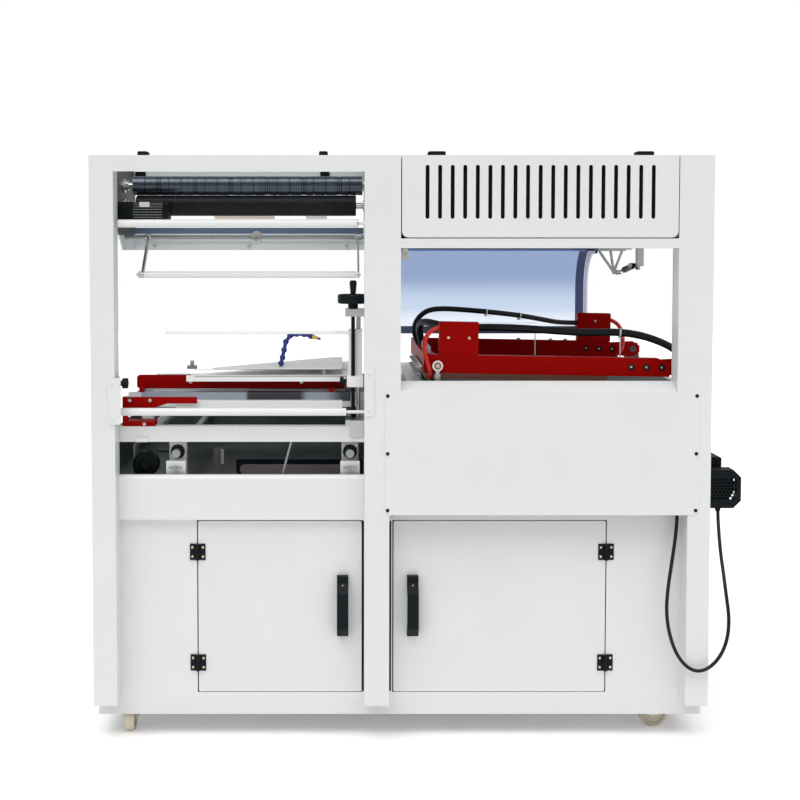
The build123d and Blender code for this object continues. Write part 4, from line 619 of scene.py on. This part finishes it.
# ---------------------------------------------------------------- film tower
for name, x, z in (("perforating", (-0.7865, -0.7640), 1.428), ("feed", (-0.7865, -0.7560), 1.3757)):
    collar = turned([(0.0095, 0), (0.0190, 0), (0.0190, 0.004), (0.0135, 0.0055), (0.0135, 0.012), (0.0125, 0.0128),
                     (0.0095, 0.0128)])
    collar.transform(at((x[0], -0.245, z), (1, 0, 0)))
    piece(f"{name}_bearing_left", collar, alloy, edge=0.0003)
    far_collar = turned([(0.0095, 0), (0.0150, 0), (0.0150, 0.0035), (0.0120, 0.0045), (0.0095, 0.0045)])
    far_collar.transform(at((-0.1532, -0.245, z), (-1, 0, 0)))
    piece(f"{name}_bearing_right", far_collar, alloy, edge=0.0003)
ears = [(-0.7865, -0.245 + 0.024 * math.cos(angle), z + 0.024 * math.sin(angle))
        for z in (1.428, 1.3757) for angle in (math.pi, 0)]
fasteners("tower_bearing_bolts", lambda: hex_nut(0.0052, 0.0045), ears, zinc, (1, 0, 0))
block("rail_stop_left", (-0.7815, -0.7534), (-0.103, -0.096), (1.4615, 1.4745), black_plastic)
block("rail_stop_right", (-0.2730, -0.2476), (-0.103, -0.096), (1.4615, 1.4745), black_plastic)
block("rail_board", (-0.7860, -0.1540), (-0.0985, -0.0960), (1.283, 1.303), board_grey, radius=0.0005)
block("rail_strip", (-0.7860, -0.1540), (-0.0985, -0.0960), (1.3035, 1.3205), navy_blue, radius=0.0005)
block("rail_cloth", (-0.5650, -0.3990), (-0.0985, -0.0960), (1.3445, 1.3535), peach_plastic, radius=0.001)
block("rail_cloth_end", (-0.3130, -0.2550), (-0.0985, -0.0960), (1.3445, 1.3535), satin, radius=0.001)
fasteners("rail_bolts", lambda: cap_head(0.0045, 0.004), [(x, -0.0961, 1.271) for x in (-0.730, -0.470, -0.200)], zinc)
wheel = turned([(0.004, 0), (0.0155, 0), (0.0165, 0.0015), (0.0165, 0.0040), (0.0155, 0.0055), (0.0075, 0.0060),
                (0.0075, 0.0100), (0.004, 0.0100)])
wheel.transform(at((-0.438, -0.2470, 1.293), TOWARDS))
piece("needle_clamp_disc", wheel, zinc, edge=0.0003)
ends = [(x, -0.385, 1.326) for x in (-0.7795, -0.1725)]
for name, spot, way in (("left", ends[0], (-1, 0, 0)), ("right", ends[1], (1, 0, 0))):
    cap = turned([(0.0101, -0.002), (0.0101, 0.0), (0.0090, 0.0012), (0.0055, 0.0012), (0.0045, 0.0004)])
    cap.transform(at(spot, way))
    piece(f"guide_cap_{name}", cap, zinc, "upper_guide_roller")
dancer_end = turned([(0.0086, 0), (0.0086, 0.003), (0.0070, 0.0045), (0.0042, 0.0045), (0.0042, 0.008),
                     (0.0030, 0.009), (0.0010, 0.009)])
dancer_end.transform(at((-0.7301, -0.337, 1.196), (-1, 0, 0)))
piece("dancer_nut", dancer_end, zinc, "dancer_arms")
block("film_motor_label", (-0.7300, -0.7040), (-0.3427, -0.3422), (1.3690, 1.3815), white_plastic, radius=0.0008, edge=0)
ribs = []
for angle in range(-60, 75, 15):
    rib = prism(rounded(-0.748, -0.672, -0.0011, 0.0011, 0.0008, 2), 0.0022)
    turn = Matrix.Rotation(math.radians(angle), 4, "X")
    ribs.append((rib, Matrix.Translation((0, -0.315, 1.356)) @ turn @ Matrix.Translation((0, -0.0274, 0))))
piece("film_motor_fins", joined(*ribs), grey_plastic, edge=0.0003)
fasteners("film_motor_bolts", lambda: cap_head(0.0032, 0.003), [
    (x, -0.3456, z) for x in (-0.781, -0.754) for z in (1.328, 1.376)], screw_black)

# ---------------------------------------------------------------- infeed
fasteners("red_bar_bolts", lambda: cap_head(0.0052, 0.0030), [(-0.6184, -0.2155, 0.907), (-0.3215, -0.2155, 0.907)], zinc)
fasteners("bracket_screws", lambda: pan_head(0.0050, 0.0030), [
    (x, -0.3525, z) for x, z in ((-0.757, 0.874), (-0.705, 0.874), (-0.720, 0.8135))], zinc)
fasteners("stop_plate_screws", lambda: pan_head(0.0045, 0.0022), [
    (-0.1445, -0.4180, z) for z in (0.858, 0.948)], white_plastic)
fasteners("knob_plate_screws", lambda: pan_head(0.0045, 0.0022), [
    (-0.789, -0.4180, z) for z in (0.835, 0.925)], white_plastic)
block("belt_scraper", (-0.716, -0.205), (-0.230, -0.2285), (0.8842, 0.8868), satin, radius=0.0006)
tip = turned([(0.0066, -0.002), (0.0070, 0.004), (0.0030, 0.018), (0.0026, 0.024), (0.0018, 0.024), (0.0015, 0.020)])
tip.transform(at((-0.293, -0.215, 1.0285), (0.95, 0, -0.31)))
piece("nozzle_tip", tip, yellow_plastic, "carriage")
plate_edges = []
for z in (0.9273, 0.9453):
    plate_edges.append((prism(rounded(-0.600, -0.200, 0, 0.0012, 0.0005, 2), 0.0012), Matrix.Translation((0, -0.2744, z))))
piece("fold_plate_hems", joined(*plate_edges), grey_plastic, "carriage")
holder = joined((turned([(0.006, 0), (0.006, 0.022), (0.0045, 0.024), (0.001, 0.024)]), at((-0.6286, -0.100, 0.930))),
                (cap_head(0.005, 0.006), at((-0.6286, -0.106, 0.944), TOWARDS)),
                (prism(rounded(-0.014, 0.014, 0, 0.010, 0.002, 3), 0.012), Matrix.Translation((-0.6286, -0.106, 0.9303))))
piece("plate_holder", holder, zinc, "carriage", edge=0.0004)

# ---------------------------------------------------------------- tub
for side, x in (("left", -0.641), ("right", -0.192)):
    mouth = ring(0.0185, 0.0116, 0.004)
    mouth.transform(at((x, -0.3031, 0.734), TOWARDS))
    piece(f"cradle_ring_{side}", mouth, rubber, edge=0.0003)
    fasteners(f"cradle_bolts_{side}", lambda: cap_head(0.0042, 0.004), [
        (x + dx, -0.3031, z) for dx in (-0.0165, 0.0165) for z in (0.750, 0.670)], zinc)
block("tub_dark_frame", (-0.506, -0.1560), (-0.1180, -0.1150), (0.6402, 0.6808), navy_sheet, radius=0.004)
block("tub_panel", (-0.4955, -0.2050), (-0.1215, -0.1181), (0.6402, 0.6670), pink_plastic, radius=0.012)
block("tub_light", (-0.5430, -0.5352), (-0.1660, -0.1600), (0.6760, 0.7165), cream_paint, radius=0.001)
block("tub_post", (-0.5640, -0.5400), (-0.1590, -0.1400), (0.6402, 0.7175), grey_plastic)
slope = turned([(0.0030, 0), (0.0030, 0.086), (0.0020, 0.087), (0.0010, 0.087)])
slope.transform(at((-0.3715, -0.215, 0.6610), (0.257, 0, 0.966)))
piece("tub_rod", slope, satin)
motor = turned([(0.030, 0), (0.0335, 0.002), (0.0335, 0.012), (0.029, 0.013), (0.029, 0.020), (0.0335, 0.021),
                (0.0335, 0.034), (0.030, 0.036), (0.018, 0.036), (0.012, 0.041), (0.006, 0.041)])
motor.transform(at((-0.7262, -0.268, 0.6985), TOWARDS))
piece("rewind_motor", motor, black_plastic, edge=0.0004)
lever = joined((turned([(0.007, 0), (0.007, 0.046), (0.010, 0.048), (0.010, 0.060), (0.007, 0.062)]),
                at((-0.700, -0.275, 0.737), (0.96, 0.0, -0.10))))
piece("rewind_shaft", lever, dark_steel, edge=0.0004)
block("rewind_bracket", (-0.7600, -0.7545), (-0.290, -0.230), (0.6402, 0.7500), grey_plastic)

# ---------------------------------------------------------------- sealing station
fasteners("far_bar_studs_top", lambda: hex_nut(0.0055, 0.005), [
    (x, 0.2965, 0.9790 + (0.690 - x) * 0.01746 - 0.0030) for x in (0.333, 0.432, 0.478)], zinc, (0, 0, 1), "jaw")
fasteners("far_bar_studs_low", lambda: hex_nut(0.0048, 0.004), [
    (x, 0.2965, 0.9275 + (0.690 - x) * 0.01746) for x in (0.333, 0.432, 0.478, 0.250)], zinc, (0, 0, -1), "jaw")
ball = turned([(0.0050, 0), (0.0100, 0), (0.0100, 0.0008), (0.0092, 0.0020), (0.0050, 0.0020)])
ball.transform(at((0.03503, -0.3201, 0.95943), TOWARDS))
piece("rod_end_ball", ball, bronze, "jaw")
race = ring(0.0139, 0.0106, 0.0012)
race.transform(at((0.03503, -0.3201, 0.95943), TOWARDS))
piece("rod_end_race", race, chrome, "lift_rods")
pin_head = turned([(0.0050, 0), (0.0050, 0.0030), (0.0042, 0.0038), (0.0012, 0.0038), (0.0008, 0.0030)])
pin_head.transform(at((0.03503, -0.3231, 0.95943), TOWARDS))
piece("rod_end_pin", pin_head, zinc, "jaw")
chain = []
for row, z in ((0, 0.951), (1, 0.931)):
    for index in range(7):
        x = -0.0035
        y = -0.260 + index * 0.052 + row * 0.020
        chain.append((hex_nut(0.0075, 0.0055), at((x, y, z), (-1, 0, 0))))
        chain.append((turned([(0.0035, 0), (0.0035, 0.014), (0.0025, 0.015), (0.001, 0.015)]), at((x, y, z), (-1, 0, 0))))
piece("cross_member_nuts", joined(*chain), zinc, "jaw", edge=0.0003)
springs = []
for index in range(9):
    y = -0.280 + index * 0.062
    for turn in range(4):
        springs.append((ring(0.0070, 0.0045, 0.0020), at((0.0140, y, 0.9905 + turn * 0.0032))))
    springs.append((cap_head(0.0058, 0.005), at((0.0140, y, 1.0035))))
piece("cross_member_springs", joined(*springs[:20]), zinc, "jaw")
teeth = [(prism([(0, 0), (0.005, 0), (0.0025, -0.004)], 0.003), Matrix.Translation((0.066 + 0.0105 * index, -0.3080,
          0.9389 - 0.01746 * (0.0105 * index)))) for index in range(38)]
piece("near_seal_teeth", joined(*teeth), tanned, "jaw")
for name, x, y, low, high in (("near", 0.319, -0.115, 0.970, 1.046), ("far", 0.5305, -0.216, 0.966, 1.038)):
    strap = prism([(-0.0016, 0), (0.0016, 0), (0.0016, high - low), (-0.0016, high - low)], 0.0010)
    strap.transform(Matrix.Translation((x, y, low)))
    piece(f"hose_strap_{name}", strap, white_plastic, "jaw")

# ---------------------------------------------------------------- hood and its spring
clip = joined((prism(rounded(-0.0595, -0.0450, 1.236, 1.2625, 0.002, 3), 0.016), Matrix.Translation((0, -0.372, 0))),
              (cap_head(0.0045, 0.004), at((-0.0510, -0.372, 1.247), TOWARDS)))
piece("window_clip", clip, cream_paint, edge=0.0004)
band = ring(0.0094, 0.0086, 0.0030)
along = Vector((0, 0.170, -0.022)).normalized()
band.transform(at(Vector((0.616, 0.005, 1.215)) + along * 0.098, along))
piece("spring_band", band, white_plastic, "spring_cylinder")
for name, spot, rider in (("eye", (0.6102, 0.175, 1.193), "spring_rod"), ("anchor", (0.6100, 0.005, 1.215), "spring_cylinder")):
    nut = joined((hex_nut(0.0075, 0.0050), at(spot, (-1, 0, 0))),
                 (turned([(0.0040, 0), (0.0040, 0.009), (0.003, 0.010), (0.001, 0.010)]), at(spot, (-1, 0, 0))))
    piece(f"spring_{name}_nut", nut, chrome, rider, edge=0.0003)
block("hood_lower_trim", (-0.090, 0.549), (0.3705, 0.3745), (0.9955, 1.0190), navy_blue, "hood", radius=0.002)

# ---------------------------------------------------------------- drive motor
fasteners("drive_cover_screws", lambda: pan_head(0.0036, 0.0020), [
    (0.7925 + dx, -0.2650, 0.627 + dz) for dx, dz in ((-0.043, -0.020), (-0.043, 0.020), (0.043, -0.020), (0.043, 0.020))],
          screw_black)
gland = turned([(0.0085, 0, "hex"), (0.0085, 0.006, "hex"), (0.0075, 0.006), (0.0068, 0.014), (0.0050, 0.016), (0.0046, 0.012)])
gland.transform(at((0.790, -0.240, 0.579), (0, 0, -1)))
piece("drive_gland", gland, black_plastic, edge=0.0003)


# ---------------------------------------------------------------- stage
def plane(name, size, place, turn, material):
    mesh = bpy.data.meshes.new(name)
    half = size / 2
    mesh.from_pydata([(-half, -half, 0), (half, -half, 0), (half, half, 0), (-half, half, 0)], [], [(0, 1, 2, 3)])
    mesh.materials.append(material)
    made = bpy.data.objects.new(name, mesh)
    made.location = place
    made.rotation_euler = turn
    scene.collection.objects.link(made)
    return made


floor_look = Graph("floor_look")
seen = floor_look.node("ShaderNodeLightPath", output="Is Camera Ray")
pale = floor_look.mix(floor_look.noise(2.0), (0.93, 0.93, 0.93), (0.95, 0.95, 0.95))
floor_look.set(Base_Color=floor_look.mix(seen, pale, (0.98, 0.98, 0.98)), Roughness=0.9)
floor_look.set(Emission_Color=(1.0, 1.0, 1.0), Emission_Strength=seen * 0.18)
plane("floor", 30.0, (0, 0, 0), (0, 0, 0), floor_look.material)


def sun(name, towards, strength, softness):
    """Broad soft light from far away, coming from the given side."""
    data = bpy.data.lights.new(name, "SUN")
    data.energy = strength
    data.angle = math.radians(softness)
    made = bpy.data.objects.new(name, data)
    made.rotation_euler = Vector(towards).to_track_quat("Z", "Y").to_euler()
    scene.collection.objects.link(made)


sun("sun_left", (-0.9, -1.35, 2.8), 1.25, 40.0)
sun("sun_right", (1.2, -1.0, 2.8), 0.75, 50.0)

# Camera rays see white; reflections see a darker room with the same tone.
world = bpy.data.worlds.new("world")
scene.world = world
world.use_nodes = True
tree = world.node_tree
background = tree.nodes["Background"]
light_path = tree.nodes.new("ShaderNodeLightPath")
reflected = tree.nodes.new("ShaderNodeMix")
reflected.inputs[2].default_value = 0.58
reflected.inputs[3].default_value = 0.42
tree.links.new(light_path.outputs["Is Glossy Ray"], reflected.inputs["Factor"])
level = tree.nodes.new("ShaderNodeMix")
level.inputs[3].default_value = 1.0
direct = tree.nodes.new("ShaderNodeMath")
direct.operation = "MAXIMUM"
tree.links.new(light_path.outputs["Is Camera Ray"], direct.inputs[0])
tree.links.new(light_path.outputs["Is Transmission Ray"], direct.inputs[1])
tree.links.new(direct.outputs[0], level.inputs["Factor"])
tree.links.new(reflected.outputs[0], level.inputs[2])
tree.links.new(level.outputs[0], background.inputs["Strength"])
background.inputs["Color"].default_value = (1.0, 1.0, 1.0, 1.0)
